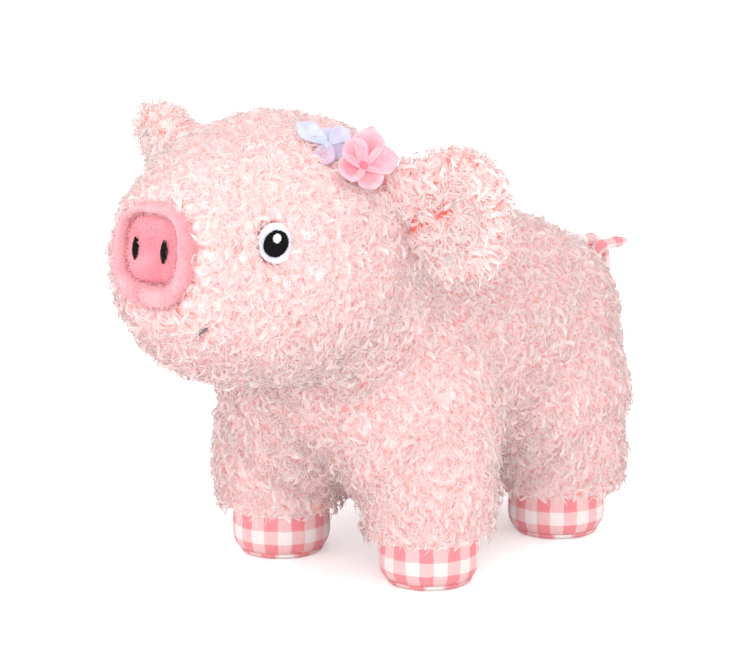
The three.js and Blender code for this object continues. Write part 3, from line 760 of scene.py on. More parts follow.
def turned(corners: Sequence[tuple[float, float]], steps: int) -> bmesh.types.BMesh:
    """Spins a profile round Z into a closed solid.

    Args:
        corners: the profile's radius and height, point by point.
        steps: how many parts a full turn has.

    Returns:
        The solid, facing outwards.
    """
    bm = bmesh.new()
    verts = [bm.verts.new((radius, 0.0, height)) for radius, height in corners]
    edges = [bm.edges.new(pair) for pair in zip(verts, verts[1:])]
    spun(bm, verts + edges, steps)
    bmesh.ops.remove_doubles(bm, verts=bm.verts, dist=0.001 * MM)
    bmesh.ops.recalc_face_normals(bm, faces=bm.faces)
    return bm


def subdivided(piece: bpy.types.Object, levels: int) -> bpy.types.Object:
    """Rounds a piece off with a subdivision surface, applied, and returns it."""
    rounding = piece.modifiers.new("Rounding", "SUBSURF")
    rounding.levels = levels
    rounding.render_levels = levels
    apply_modifiers(piece)
    return piece


def thickened(piece: bpy.types.Object, thickness: float, offset: float) -> bpy.types.Object:
    """Gives a single layer of cloth its thickness, inwards for an offset of -1, and returns it."""
    wall = piece.modifiers.new("Cloth thickness", "SOLIDIFY")
    wall.thickness = thickness
    wall.offset = offset
    wall.use_rim = True
    apply_modifiers(piece)
    return piece


def absorb(bm: bmesh.types.BMesh, piece: bpy.types.Object) -> None:
    """Adds a piece's mesh to a bmesh, and deletes the piece."""
    mesh = piece.data
    bm.from_mesh(mesh)
    bpy.data.objects.remove(piece)
    bpy.data.meshes.remove(mesh)


def curve_through(points: Sequence[Vector], count: int) -> list[Vector]:
    """Returns evenly shared points on a smooth curve through the given ones."""
    padded = [points[0] * 2 - points[1], *points, points[-1] * 2 - points[-2]]
    made = []
    for i in range(count):
        place = i / (count - 1) * (len(points) - 1)
        leg = min(int(place), len(points) - 2)
        t = place - leg
        a, b, c, d = padded[leg : leg + 4]
        bend, twist = a * 2 - b * 5 + c * 4 - d, b * 3 - a - c * 3 + d
        made.append((b * 2 + (c - a) * t + bend * t**2 + twist * t**3) / 2)
    return made


@dataclass
class Rings:
    """A tube drawn out along a path by extruding one ring of points, closed at both ends."""

    path: Sequence[Vector]
    radii: Sequence[float]
    sides: int
    flat: float = 1.0
    twist: float = 0.0
    groove: float = 1.0
    map_name: str = PILE_UV
    map_scale: tuple[float, float] = (1.0, 1.0)

    def frames(self) -> list[Matrix]:
        """Returns the place and size of each ring, turned as little as the path allows."""
        tangents = []
        for i in range(len(self.path)):
            before, after = self.path[max(i - 1, 0)], self.path[min(i + 1, len(self.path) - 1)]
            tangents.append((after - before).normalized())
        side = tangents[0].orthogonal().normalized()
        made = []
        for i, (point, tangent) in enumerate(zip(self.path, tangents)):
            side = (side - tangent * side.dot(tangent)).normalized()
            turn = Matrix.Rotation(self.twist * i / max(len(self.path) - 1, 1), 4, tangent)
            x = turn @ side
            y = tangent.cross(x)
            basis = Matrix((x, y, tangent)).transposed().to_4x4()
            size = Matrix.Diagonal((self.radii[i], self.radii[i] * self.flat, 1.0, 1.0))
            made.append(Matrix.Translation(point) @ basis @ size)
        return made

    def draw(self, bm: bmesh.types.BMesh) -> None:
        """Adds the tube to a bmesh, with a map that runs round it and along it."""
        around = bm.verts.layers.float.get("around") or bm.verts.layers.float.new("around")
        along = bm.verts.layers.float.get("along") or bm.verts.layers.float.new("along")
        ring = bmesh.ops.create_circle(bm, segments=self.sides, radius=1.0, cap_ends=False)["verts"]
        for i, vert in enumerate(ring):
            vert[around] = i / self.sides
            vert[along] = 0.0
            vert.co *= self.groove if i % 2 else 1.0
        frames = self.frames()
        bmesh.ops.transform(bm, matrix=frames[0], verts=ring)
        edges = [e for e in bm.edges if e.verts[0] in ring and e.verts[1] in ring]
        first_edges = list(edges)
        lengths = [0.0]
        for before, after in zip(self.path, self.path[1:]):
            lengths.append(lengths[-1] + (after - before).length)
        made_faces = []
        for step in range(1, len(frames)):
            grown = bmesh.ops.extrude_edge_only(bm, edges=edges)["geom"]
            ring = [g for g in grown if isinstance(g, bmesh.types.BMVert)]
            edges = [g for g in grown if isinstance(g, bmesh.types.BMEdge) and g.is_boundary]
            made_faces += [g for g in grown if isinstance(g, bmesh.types.BMFace)]
            bmesh.ops.transform(bm, matrix=frames[step] @ frames[step - 1].inverted(), verts=ring)
            for vert in ring:
                vert[along] = lengths[step] / lengths[-1]
        for end in (first_edges, edges):
            made_faces += bmesh.ops.holes_fill(bm, edges=end, sides=0)["faces"]
        bmesh.ops.recalc_face_normals(bm, faces=made_faces)
        uv = bm.loops.layers.uv.get(self.map_name) or bm.loops.layers.uv.new(self.map_name)
        for face in made_faces:
            turns = [loop.vert[around] for loop in face.loops]
            wraps = max(turns) - min(turns) > 0.5 and len(face.verts) == 4
            for loop in face.loops:
                turn = loop.vert[around]
                turn += 1.0 if wraps and turn < 0.5 else 0.0
                loop[uv].uv = (turn * self.map_scale[0], loop.vert[along] * self.map_scale[1])


@dataclass(frozen=True)
class LockShape:
    """One curled lock, in lengths of itself: it stands on Z = 0 and curls over towards +X."""

    bend: float
    start: float
    thickness: float
    flat: float
    coil: float
    twist: float
    steps: int = 4
    sides: int = 4
    groove: float = 0.86

    def template(self) -> "LockMesh":
        """Builds the lock once, as plain arrays that can be repeated."""
        path, radii = [], []
        angle, at = math.radians(self.start), Vector((0.0, 0.0, 0.0))
        for i in range(self.steps + 1):
            share = i / self.steps
            path.append(at + Vector((0.0, self.coil * math.sin(share * math.tau * 0.8), 0.0)))
            radii.append(np.interp(share, *LOCK_PROFILE) * self.thickness)
            at = at + Vector((math.sin(angle), 0.0, math.cos(angle))) * (1.0 / self.steps)
            angle += math.radians(self.bend) / self.steps
        bm = bmesh.new()
        Rings(path, radii, self.sides, self.flat, math.radians(self.twist), self.groove).draw(bm)
        return LockMesh.from_bmesh(bm)


@dataclass
class LockMesh:
    """A small mesh as arrays: points and normals, corners, the corners in each face, and the corners' map."""

    points: np.ndarray
    normals: np.ndarray
    corners: np.ndarray
    sizes: np.ndarray
    uv: np.ndarray

    @classmethod
    def from_bmesh(cls, bm: bmesh.types.BMesh) -> "LockMesh":
        """Reads a bmesh and frees it."""
        bm.verts.index_update()
        uv = bm.loops.layers.uv.get(PILE_UV)
        bm.normal_update()
        points = np.array([v.co[:] for v in bm.verts])
        normals = np.array([v.normal[:] for v in bm.verts])
        corners = np.array([loop.vert.index for f in bm.faces for loop in f.loops])
        sizes = np.array([len(f.verts) for f in bm.faces])
        places = np.array([loop[uv].uv[:] for f in bm.faces for loop in f.loops])
        bm.free()
        return cls(points, normals, corners, sizes, places)

    @property
    def triangles(self) -> int:
        """How many triangles the lock's faces come to."""
        return int((self.sizes - 2).sum())


@dataclass
class Locks:
    """Where every lock of one part of the pile stands: its root, turn and size, shape and tint."""

    roots: np.ndarray
    facing: np.ndarray
    turns: np.ndarray
    shapes: np.ndarray
    tints: np.ndarray

    def chosen(self, rows: np.ndarray) -> "Locks":
        """Returns some of the locks."""
        columns = (self.roots, self.facing, self.turns, self.shapes, self.tints)
        return Locks(*(column[rows] for column in columns))

    def arrays(self, templates: Sequence[LockMesh]) -> dict[str, np.ndarray]:
        """Repeats the templates: points, normals, corners, faces' sizes, places on the map and tints."""
        parts = {name: [] for name in ("points", "normals", "corners", "sizes", "places", "tints")}
        base = 0
        for number, template in enumerate(templates):
            rows = np.flatnonzero(self.shapes == number)
            if not len(rows):
                continue
            count = len(template.points)
            turns = self.turns[rows]
            placed = np.einsum("nij,vj->nvi", turns, template.points) + self.roots[rows][:, None]
            parts["points"].append(placed.reshape(-1, 3))
            turned_normals = units(np.einsum("nij,vj->nvi", turns, template.normals).reshape(-1, 3))
            soft = np.repeat(self.facing[rows], count, axis=0)
            share = SOFTNESS * np.clip((turned_normals * soft).sum(1, keepdims=True) + SOFT_REACH, 0, 1)
            parts["normals"].append(units(turned_normals * (1 - share) + soft * share))
            offsets = base + count * np.arange(len(rows))
            parts["corners"].append((template.corners[None] + offsets[:, None]).ravel())
            parts["sizes"].append(np.tile(template.sizes, len(rows)))
            parts["places"].append(np.tile(template.uv, (len(rows), 1)))
            parts["tints"].append(np.repeat(self.tints[rows], count))
            base += count * len(rows)
        return {name: np.concatenate(part) for name, part in parts.items()}

    def mesh(self, name: str, templates: Sequence[LockMesh]) -> bpy.types.Object:
        """Builds one linked object of all the locks, shaded partly as the skin that they stand on."""
        whole = self.arrays(templates)
        starts = np.concatenate([[0], np.cumsum(whole["sizes"])[:-1]])
        mesh = bpy.data.meshes.new(name)
        mesh.vertices.add(len(whole["points"]))
        mesh.vertices.foreach_set("co", whole["points"].astype(np.float32).ravel())
        mesh.loops.add(len(whole["corners"]))
        mesh.loops.foreach_set("vertex_index", whole["corners"].astype(np.int32))
        mesh.polygons.add(len(whole["sizes"]))
        mesh.polygons.foreach_set("loop_start", starts.astype(np.int32))
        mesh.update(calc_edges=True)
        mesh.uv_layers.new(name=PILE_UV).data.foreach_set("uv", whole["places"].astype(np.float32).ravel())
        keep_tints(mesh, whole["tints"])
        mesh.shade_smooth()
        mesh.normals_split_custom_set_from_vertices(whole["normals"])
        return linked(name, mesh)


LOCK_PROFILE = ((0.0, 0.2, 0.45, 0.7, 0.88, 1.0), (0.7, 1.0, 1.1, 1.0, 0.78, 0.36))
LOCK_SHAPES = [
    LockShape(bend=150, start=-8, thickness=0.135, flat=0.8, coil=0.1, twist=110),
    LockShape(bend=210, start=-20, thickness=0.125, flat=0.85, coil=0.16, twist=150),
    LockShape(bend=120, start=0, thickness=0.14, flat=0.75, coil=-0.12, twist=-120),
    LockShape(bend=240, start=-25, thickness=0.12, flat=0.9, coil=-0.18, twist=180),
    LockShape(bend=180, start=-10, thickness=0.13, flat=0.8, coil=-0.14, twist=-160),
    LockShape(bend=95, start=4, thickness=0.13, flat=0.75, coil=0.1, twist=100),
]
FINE = {"flat": 1.0, "twist": 0, "steps": 2, "sides": 3, "groove": 1.0}
NAP_SHAPES = [LockShape(bend=50, start=0, thickness=0.08, coil=0.1, **FINE)]
WISP_SHAPES = [
    LockShape(bend=90, start=0, thickness=0.052, coil=0.16, **FINE),
    LockShape(bend=130, start=-10, thickness=0.046, coil=-0.2, **FINE),
]


@dataclass
class Clearing:
    """An oval on the head or trunk that holds no pile, and that the locks round it lean away from."""

    centre: Vector
    normal: Vector
    half_width: float
    half_height: float
    margin: float = 4.0 * MM
    strength: float = 1.2
    shorten: float = 0.3

    def measure(self, points: np.ndarray) -> tuple[np.ndarray, np.ndarray, np.ndarray]:
        """Measures points against the oval.

        Args:
            points: rows of three numbers.

        Returns:
            How far out each point is, as a share of the oval, the direction away from its middle,
            and how near it is, from one at its edge to zero at the margin.
        """
        normal = np.array(self.normal.normalized())
        x = np.array(UP.cross(self.normal).normalized())
        y = np.cross(normal, x)
        offset = points - np.array(self.centre)
        u, v, depth = offset @ x, offset @ y, offset @ normal
        share = np.hypot(u / self.half_width, v / self.half_height)
        share = np.where(np.abs(depth) > 4 * self.half_width, FAR_OUT, share)
        size = (self.half_width + self.half_height) / 2
        away = units(np.outer(u, x) + np.outer(v, y) + TINY)
        near = np.clip(1.0 - (share - 1.0) * size / self.margin, 0.0, 1.0)
        return share, away, near


FAR_OUT = 99.0
TINY = 1e-9
PointTest = Callable[[np.ndarray, np.ndarray], np.ndarray]


def leaning(flow: np.ndarray, normals: np.ndarray, degrees: np.ndarray) -> np.ndarray:
    """Returns the frames of locks that lean from the skin's normals towards the flow, X ahead and Z along."""
    x = units(flow - normals * (flow * normals).sum(1, keepdims=True) + TINY)
    y = np.cross(normals, x)
    lean = np.radians(degrees)
    z = normals * np.cos(lean)[:, None] + x * np.sin(lean)[:, None]
    return np.stack([units(np.cross(y, z)), y, z], axis=2)


@dataclass
class Pile:
    """How the pile of one form grows: its spacing, its length and the way it falls."""

    spacing: float = 3.0 * MM
    length: float = 6.4 * MM
    fall: float = 0.8
    swirl: float = 0.9
    swirl_size: float = 7.0 * MM
    lean: float = 38.0
    lean_spread: float = 16.0
    pushed_lean: float = 25.0
    tint_patch: float = 16.0 * MM
    wisp_length: float = 5.0 * MM
    wisp_area: float = 2.5 * MM * MM
    seed: int = 1

    @staticmethod
    def roots(
        skin: bpy.types.Object, spacing: float, rng: np.random.Generator
    ) -> tuple[np.ndarray, np.ndarray]:
        """Picks points on a skin that keep apart by a spacing.

        Args:
            skin: the piece that the pile stands on.
            spacing: the least distance between two roots.
            rng: the seeded source of chance.

        Returns:
            The points and the skin's normals there.
        """
        mesh = skin.data
        mesh.calc_loop_triangles()
        corners = np.empty(len(mesh.loop_triangles) * 3, np.int32)
        mesh.loop_triangles.foreach_get("vertices", corners)
        corners = corners.reshape(-1, 3)
        points, normals = coordinates(mesh), vertex_normals(mesh)
        a, b, c = (points[corners[:, i]] for i in range(3))
        area = np.linalg.norm(np.cross(b - a, c - a), axis=1) / 2
        tries = int(5.0 * area.sum() / spacing**2)
        face = rng.choice(len(area), tries, p=area / area.sum())
        u, v = rng.random((2, tries, 1))
        u, v = np.where(u + v > 1, 1 - u, u), np.where(u + v > 1, 1 - v, v)
        w = 1 - u - v
        tried = w * a[face] + u * b[face] + v * c[face]
        facing = sum(part * normals[corners[face, i]] for i, part in enumerate((w, u, v)))
        tree = KDTree(tries)
        for i, point in enumerate(tried):
            tree.insert(point, i)
        tree.balance()
        dropped = np.zeros(tries, bool)
        kept = []
        for i in range(tries):
            if dropped[i]:
                continue
            kept.append(i)
            for _, other, _ in tree.find_range(tried[i], spacing):
                dropped[other] = True
        return tried[kept], units(facing[kept])

    def strewn(self, skin: bpy.types.Object, rng: np.random.Generator) -> tuple[np.ndarray, np.ndarray]:
        """Picks points of a skin for the wisps, one for each so much of its area.

        Args:
            skin: the piece that the pile stands on, of small even faces.
            rng: the seeded source of chance.

        Returns:
            The points and the skin's normals there.
        """
        mesh = skin.data
        areas = np.empty(len(mesh.polygons), np.float32)
        mesh.polygons.foreach_get("area", areas)
        points, normals = coordinates(mesh), vertex_normals(mesh)
        count = min(len(points), int(areas.sum() / self.wisp_area))
        rows = rng.choice(len(points), count, replace=False)
        return points[rows], normals[rows]

    def stood(
        self,
        placed: tuple[np.ndarray, np.ndarray],
        clearings: Sequence[Clearing],
        inside: PointTest,
        towards: Optional[np.ndarray],
        rng: np.random.Generator,
        stray: float,
    ) -> tuple[Locks, np.ndarray]:
        """Leaves out the roots that hold nothing, and finds the way that each of the others stands.

        Args:
            placed: the roots and the skin's normals there.
            clearings: the ovals that hold no pile.
            inside: tells which points lie inside another form.
            towards: the way the pile falls, where that isn't straight down.
            rng: the seeded source of chance.
            stray: how far each lock strays from the way that its neighbours fall.

        Returns:
            The locks, each of a length of one, and the share of its length that each one keeps.
        """
        roots, normals = placed
        keep = ~inside(roots, normals)
        pushes = np.zeros_like(roots)
        short = np.ones(len(roots))
        for clearing in clearings:
            share, away, near = clearing.measure(roots)
            keep &= share > 1.0
            pushes += away * (near * clearing.strength)[:, None]
            short -= near * clearing.shorten
        roots, normals, pushes, short = roots[keep], normals[keep], pushes[keep], short[keep]
        count = len(roots)
        fall = np.array((0.0, 0.0, -1.0)) if towards is None else towards
        swirl = wobble(roots, self.swirl_size, self.seed) * 2.2 + rng.normal(0, stray, (count, 3))
        flow = fall * self.fall + swirl * self.swirl + pushes
        pushed = self.pushed_lean * np.linalg.norm(pushes, axis=1)
        turns = leaning(flow, normals, rng.normal(self.lean, self.lean_spread, count) + pushed)
        coherent = wobble(roots, self.tint_patch, self.seed + 9)[:, 0] + 0.5
        # Locks that face down take more of the flush colour: painted shade on the undersides.
        painted_shade = np.clip(-normals[:, 2], 0, 1) * 0.45
        tints = np.clip(rng.uniform(0, 1, count) * 0.55 + coherent * 0.35 + painted_shade, 0, 1)
        return Locks(roots, normals, turns, np.zeros(count, int), tints), short

    def grow(
        self,
        skin: bpy.types.Object,
        clearings: Sequence[Clearing],
        inside: PointTest,
        towards: Optional[np.ndarray] = None,
    ) -> dict[str, Locks]:
        """Grows the curls and the loose wisps of one skin.

        Args:
            skin: the piece that the pile stands on.
            clearings: the ovals that hold none.
            inside: tells which points lie inside another form, from the points and normals.
            towards: the way the pile falls, where that isn't straight down.

        Returns:
            The locks of each kind.
        """
        rng = np.random.default_rng(self.seed)
        placed = self.roots(skin, self.spacing, rng)
        curls, short = self.stood(placed, clearings, inside, towards, rng, 0.3)
        count = len(short)
        length = self.length * rng.uniform(0.7, 1.25, count) * short
        wide = length * rng.uniform(0.75, 1.35, count)
        curls.turns = curls.turns * np.stack([length, wide, length], axis=1)[:, None]
        curls.shapes = rng.integers(0, len(LOCK_SHAPES), count)
        wisps, short = self.stood(self.strewn(skin, rng), clearings, inside, towards, rng, 1.3)
        reach = self.wisp_length * rng.uniform(0.55, 1.35, len(short)) * short
        wisps.turns = wisps.turns * reach[:, None, None]
        wisps.shapes = rng.integers(0, len(WISP_SHAPES), len(short))
        return {"curls": curls, "wisps": wisps}


class Comb:
    """Turns grown pile into named pieces, none of them over the size that an export keeps whole."""

    _templates: ClassVar[dict[str, list[LockMesh]]] = {}

    @classmethod
    def lay(cls, name: str, grown: dict[str, Locks], finish: Plush, body: Body) -> None:
        """Builds the pile of one form.

        Args:
            name: the form's name, which each piece's name begins with.
            grown: its locks, by their kind.
            finish: the plush that it is.
            body: the body that it rides on.
        """
        if not cls._templates:
            shapes = {"curls": LOCK_SHAPES, "wisps": WISP_SHAPES}
            cls._templates = {kind: [shape.template() for shape in some] for kind, some in shapes.items()}
        for kind, locks in grown.items():
            templates = cls._templates[kind]
            most = max(t.triangles for t in templates)
            parts = math.ceil(len(locks.roots) * most / MOST_TRIANGLES)
            order = np.argsort(locks.roots[:, 1])
            for number, rows in enumerate(np.array_split(order, parts), 1):
                ending = f"_{number}" if parts > 1 else ""
                piece = locks.chosen(rows).mesh(f"{name}_{kind}{ending}", templates)
                # Loose polyester lets the light through, so only the skin below casts a shadow.
                piece.visible_shadow = False
                Wardrobe.settle(piece, finish, "curled_plush", body)
            LOG.info("%s: %d %s, in %d pieces", name, len(locks.roots), kind, parts)


@dataclass(frozen=True)
class Wads:
    """The soft wads that the lower pile mats into."""

    across: float = 5.2 * MM
    rise: float = 2.6 * MM
    relief: float = 2.8 * MM
    voxel: float = 1.35 * MM
    sink: float = 0.6 * MM

    def crowns(self, points: np.ndarray) -> np.ndarray:
        """Returns how high each point stands on its wad, from zero between wads to one on a crown: the mask
        of painted shade.
        """
        made = np.zeros(len(points))
        for fineness, wave, seed, bend, power, share in WAD_LAYERS:
            bent = points / self.across * fineness + wobble(points, wave, seed) * bend
            for i, point in enumerate(bent):
                (first, second, *_), _ = noise.voronoi(Vector(point))
                made[i] += min(1.0, (second - first) * 1.6) ** power * share
        return made

    def build(
        self,
        name: str,
        skin: bpy.types.Object,
        clearings: Sequence,
        cover: PointTest,
        finish: Matting,
        body: Body,
    ) -> bpy.types.Object:
        """Builds the matted pile over a skin.

        Args:
            name: the form's name, which the piece's name begins with.
            skin: the knitted skin.
            clearings: the ovals and lines that hold no pile.
            cover: tells how much of its height the pile has, from the points and normals.
            finish: what the wads are made of.
            body: the body that they ride on.

        Returns:
            The piece.
        """
        bm = bmesh.new()
        bm.from_mesh(skin.data)
        piece = object_from(bm, f"{name}_undercoat")
        remeshed(piece, self.voxel)
        smoothed(piece, 1)
        points, normals = coordinates(piece.data), vertex_normals(piece.data)
        crowns = self.crowns(points)
        height = self.rise + self.relief * crowns
        for clearing in clearings:
            share, _, near = clearing.measure(points)
            height *= np.where(share < 1.0, 0.0, 1.0 - near**2)
            # Round each clearing the crowns sink in the mask, so the matting paints shade there.
            crowns = crowns * (1.0 - 0.8 * near**2)
            height -= np.where(share < 1.0, self.sink, 0.0)
        height *= cover(points, normals)
        set_coordinates(piece.data, points + normals * height[:, None])
        # The crowns go to the mesh as its tint, which the matting turns into painted shade in the clefts.
        keep_tints(piece.data, crowns)
        piece.data.shade_smooth()
        # The pile is loose enough for light to come through, so only the skin below it casts a shadow.
        piece.visible_shadow = False
        Wardrobe.settle(piece, finish, "curled_plush", body)
        return piece


# Each layer of wads: its fineness, the size, seed and strength of its bends, its power and its share.
WAD_LAYERS = ((1.0, 6.0 * MM, 2.0, 0.8, 0.6, 0.72), (2.1, 3.0 * MM, 4.0, 0.7, 0.7, 0.28))


@dataclass
class PlushForm:
    """A stuffed form of the pig: its filling, its knitted skin and the pile on it."""

    name: str
    cover: str
    filling: str
    finish: Plush
    pile: Pile
    voxel: float = 4.0 * MM
    matting: Matting = BODY_MATTING
    inset: float = 5.2 * MM
    seam_reach: tuple[float, ...] = (4.0 * MM, 7.0 * MM, 10.0 * MM, 13.0 * MM)
    seam_fill: float = 4.0 * MM
    lump: float = 1.2 * MM
    swell: float = 1.2 * MM
    pressure: float = 4.0
    hem: float = -1.0
    hem_tuck: float = 1.5 * MM
    foot_top: float = 0.0
    envelope: Optional[bpy.types.Object] = None
    envelope_tree: Optional[BVHTree] = None

    def measure(self) -> None:
        """Builds the form's whole outer surface, which nothing shows, from its CAD solids."""
        self.envelope = object_from(merged_copy([self.cover, self.filling]), f"{self.name}_envelope")
        remeshed(self.envelope, self.voxel)
        smoothed(self.envelope, 2)
        self.envelope_tree = tree_of(self.envelope)

    def holds(self, point: Vector, within: float) -> bool:
        """Tells whether a point lies inside the outer surface, or within a distance of it."""
        at, normal, _, distance = self.envelope_tree.find_nearest(point)
        return distance < within or (point - at).dot(normal) < 0

    def skin(self, others: Sequence["PlushForm"]) -> bpy.types.Object:
        """Makes the knitted skin.

        Args:
            others: the forms that this one is sewn to.

        Returns:
            The skin, a pile's depth inside the form's outer surface.
        """
        piece = self.envelope
        piece.name = f"{self.name}_skin"
        piece.data.name = piece.name
        points, normals = coordinates(piece.data), vertex_normals(piece.data)
        sewn = np.mean([held(points, others, near) for near in self.seam_reach], axis=0)
        move = sewn * self.seam_fill - (1 - sewn) * self.inset
        under = (normals[:, 2] < -0.6) & (points[:, 2] < self.hem)
        move = np.where(under, -self.hem_tuck, move)
        lumps = wobble(points, 28 * MM, 3.0)[:, 0] * self.lump
        set_coordinates(piece.data, points + normals * (move + (1 - sewn) * lumps)[:, None])
        smoothed(piece, 3)
        swollen(piece, self.pressure, self.swell)
        Wardrobe.settle(piece, BACKING, "curled_plush", fill=0.85, node=self.cover)
        return piece

    def wadding(self) -> None:
        """Makes the filling inside the skin, as a lumpy mass of fibre."""
        piece = object_from(merged_copy([self.filling]), f"{self.name}_filling")
        remeshed(piece, 6.0 * MM)
        points, normals = coordinates(piece.data), vertex_normals(piece.data)
        lumps = wobble(points, 14 * MM, 5.0)[:, 1] * self.lump - 1.6 * MM
        set_coordinates(piece.data, points + normals * lumps[:, None])
        smoothed(piece, 1)
        Wardrobe.settle(piece, WADDING, "polyester_fill", fill=0.7, node=self.filling)

    def dress(self, others: Sequence["PlushForm"], clearings: Sequence[Clearing]) -> None:
        """Builds the whole form: filling, skin and pile."""
        self.wadding()
        skin = self.skin(others)

        def cover(points: np.ndarray, normals: np.ndarray) -> np.ndarray:
            """Tells how much of its height the pile has: none on the underside of a hem."""
            under = np.clip((-normals[:, 2] - 0.3) / 0.4, 0, 1) * (points[:, 2] < self.hem)
            return np.where(points[:, 2] < self.foot_top, 0.0, 1.0 - under)

        def buried(points: np.ndarray, normals: np.ndarray) -> np.ndarray:
            """Tells which roots stand inside another form or on the underside of a hem."""
            found = held(points + normals * 3.0 * MM, others, 0.5 * MM)
            found |= (points[:, 2] < self.hem) & (normals[:, 2] < -0.5)
            return found | (points[:, 2] < self.foot_top)

        undercoat = Wads().build(self.name, skin, clearings, cover, self.matting, Body.TRUNK)
        Comb.lay(self.name, self.pile.grow(undercoat, clearings, buried), self.finish, Body.TRUNK)


def held(points: np.ndarray, forms: Iterable[PlushForm], within: float) -> np.ndarray:
    """Tells which points lie inside one of the forms, or within a distance of it."""
    return np.array([any(form.holds(Vector(point), within) for form in forms) for point in points])


@dataclass(frozen=True)
class SatinStitch:
    """An embroidered oval: threads side by side across it, over a low pad."""

    half_width: float
    half_height: float
    rise: float
    pointed: bool = False
    thread: float = 0.27 * MM
    spacing: float = 0.4 * MM
    slant: float = 0.12

    def reach(self, share: float) -> float:
        """Returns the oval's half width at a share of its half height, as a share of its widest."""
        if self.pointed:
            return 1 - abs(share) ** 1.8
        return math.sqrt(max(0.0, 1 - share * share))

    def build(self, name: str, seat: Matrix, seed: int, finish: Thread, slot: str, node: str) -> None:
        """Builds the embroidery.

        Args:
            name: the piece's name.
            seat: the oval's middle, with Y along its height and Z out of the cloth.
            seed: for the small differences between threads.
            finish: the thread.
            slot: the record's slot that it stands for.
            node: the CAD node that it replaces.
        """
        rng = np.random.default_rng(seed)
        low = -self.rise / 2
        bm = turned([(0.0, low), (0.7, low), (0.9, low * 0.6), (0.66, 0.0), (0.0, 0.0)], 24)
        oval = Matrix.Diagonal((self.half_width, self.half_height * 0.86, 1.0, 1.0))
        bmesh.ops.transform(bm, matrix=seat @ oval, verts=bm.verts)
        rows = round(2 * self.half_height / self.spacing)
        for row in range(rows + 1):
            share = (2 * row / rows - 1) * 0.975
            half = self.reach(share) * self.half_width + rng.uniform(-0.14, 0.14) * MM
            if half < 1.5 * self.thread:
                continue
            crown = self.rise * (0.35 + 0.65 * self.reach(share))
            height = share * self.half_height + rng.uniform(-0.05, 0.05) * MM
            path = [
                seat @ Vector((s * half, height + s * half * self.slant, low + crown * (1 - s**4)))
                for s in (-1.0, -0.8, -0.4, 0.0, 0.4, 0.8, 1.0)
            ]
            radii = [self.thread * size for size in (0.7, 1.0, 1.05, 1.05, 1.05, 1.0, 0.7)]
            scale = (math.tau * self.thread, 2 * half)
            Rings(path, radii, 6, map_name=CLOTH_UV, map_scale=scale).draw(bm)
        Wardrobe.settle(object_from(bm, name), finish, slot, node=node)


@dataclass(frozen=True)
class Fuzz:
    """The short brushed pile of velour, as fibres that lean away from the snout's middle."""

    spacing: float = 0.75 * MM
    length: float = 2.1 * MM
    lean: float = 42.0
    swirl: float = 1.6
    seed: int = 60

    def grow(self, name: str, cloth: bpy.types.Object) -> bpy.types.Object:
        """Grows the fibres on the part of a cloth that can be seen.

        Args:
            name: the piece's name.
            cloth: the piece that the fibres stand on.

        Returns:
            The piece, not dressed yet.
        """
        rng = np.random.default_rng(self.seed)
        ahead = np.array(SNOUT_FRAME.to_3x3() @ UP)
        roots, normals = Pile.roots(cloth, self.spacing, rng)
        offset = roots - np.array(SNOUT_FRAME.translation)
        shown = (normals @ ahead > -0.1) & (offset @ ahead > -2.0 * MM)
        roots, normals, offset = roots[shown], normals[shown], offset[shown]
        count = len(roots)
        swirl = wobble(roots, 6.0 * MM, self.seed) * self.swirl
        flow = units(offset) + swirl + rng.normal(0, 0.35, (count, 3))
        turns = leaning(flow, normals, rng.normal(self.lean, 12.0, count))
        turns *= (self.length * rng.uniform(0.7, 1.2, count))[:, None, None]
        locks = Locks(roots, normals, turns, np.zeros(count, int), rng.uniform(0, 1, count))
        return locks.mesh(name, [shape.template() for shape in NAP_SHAPES])


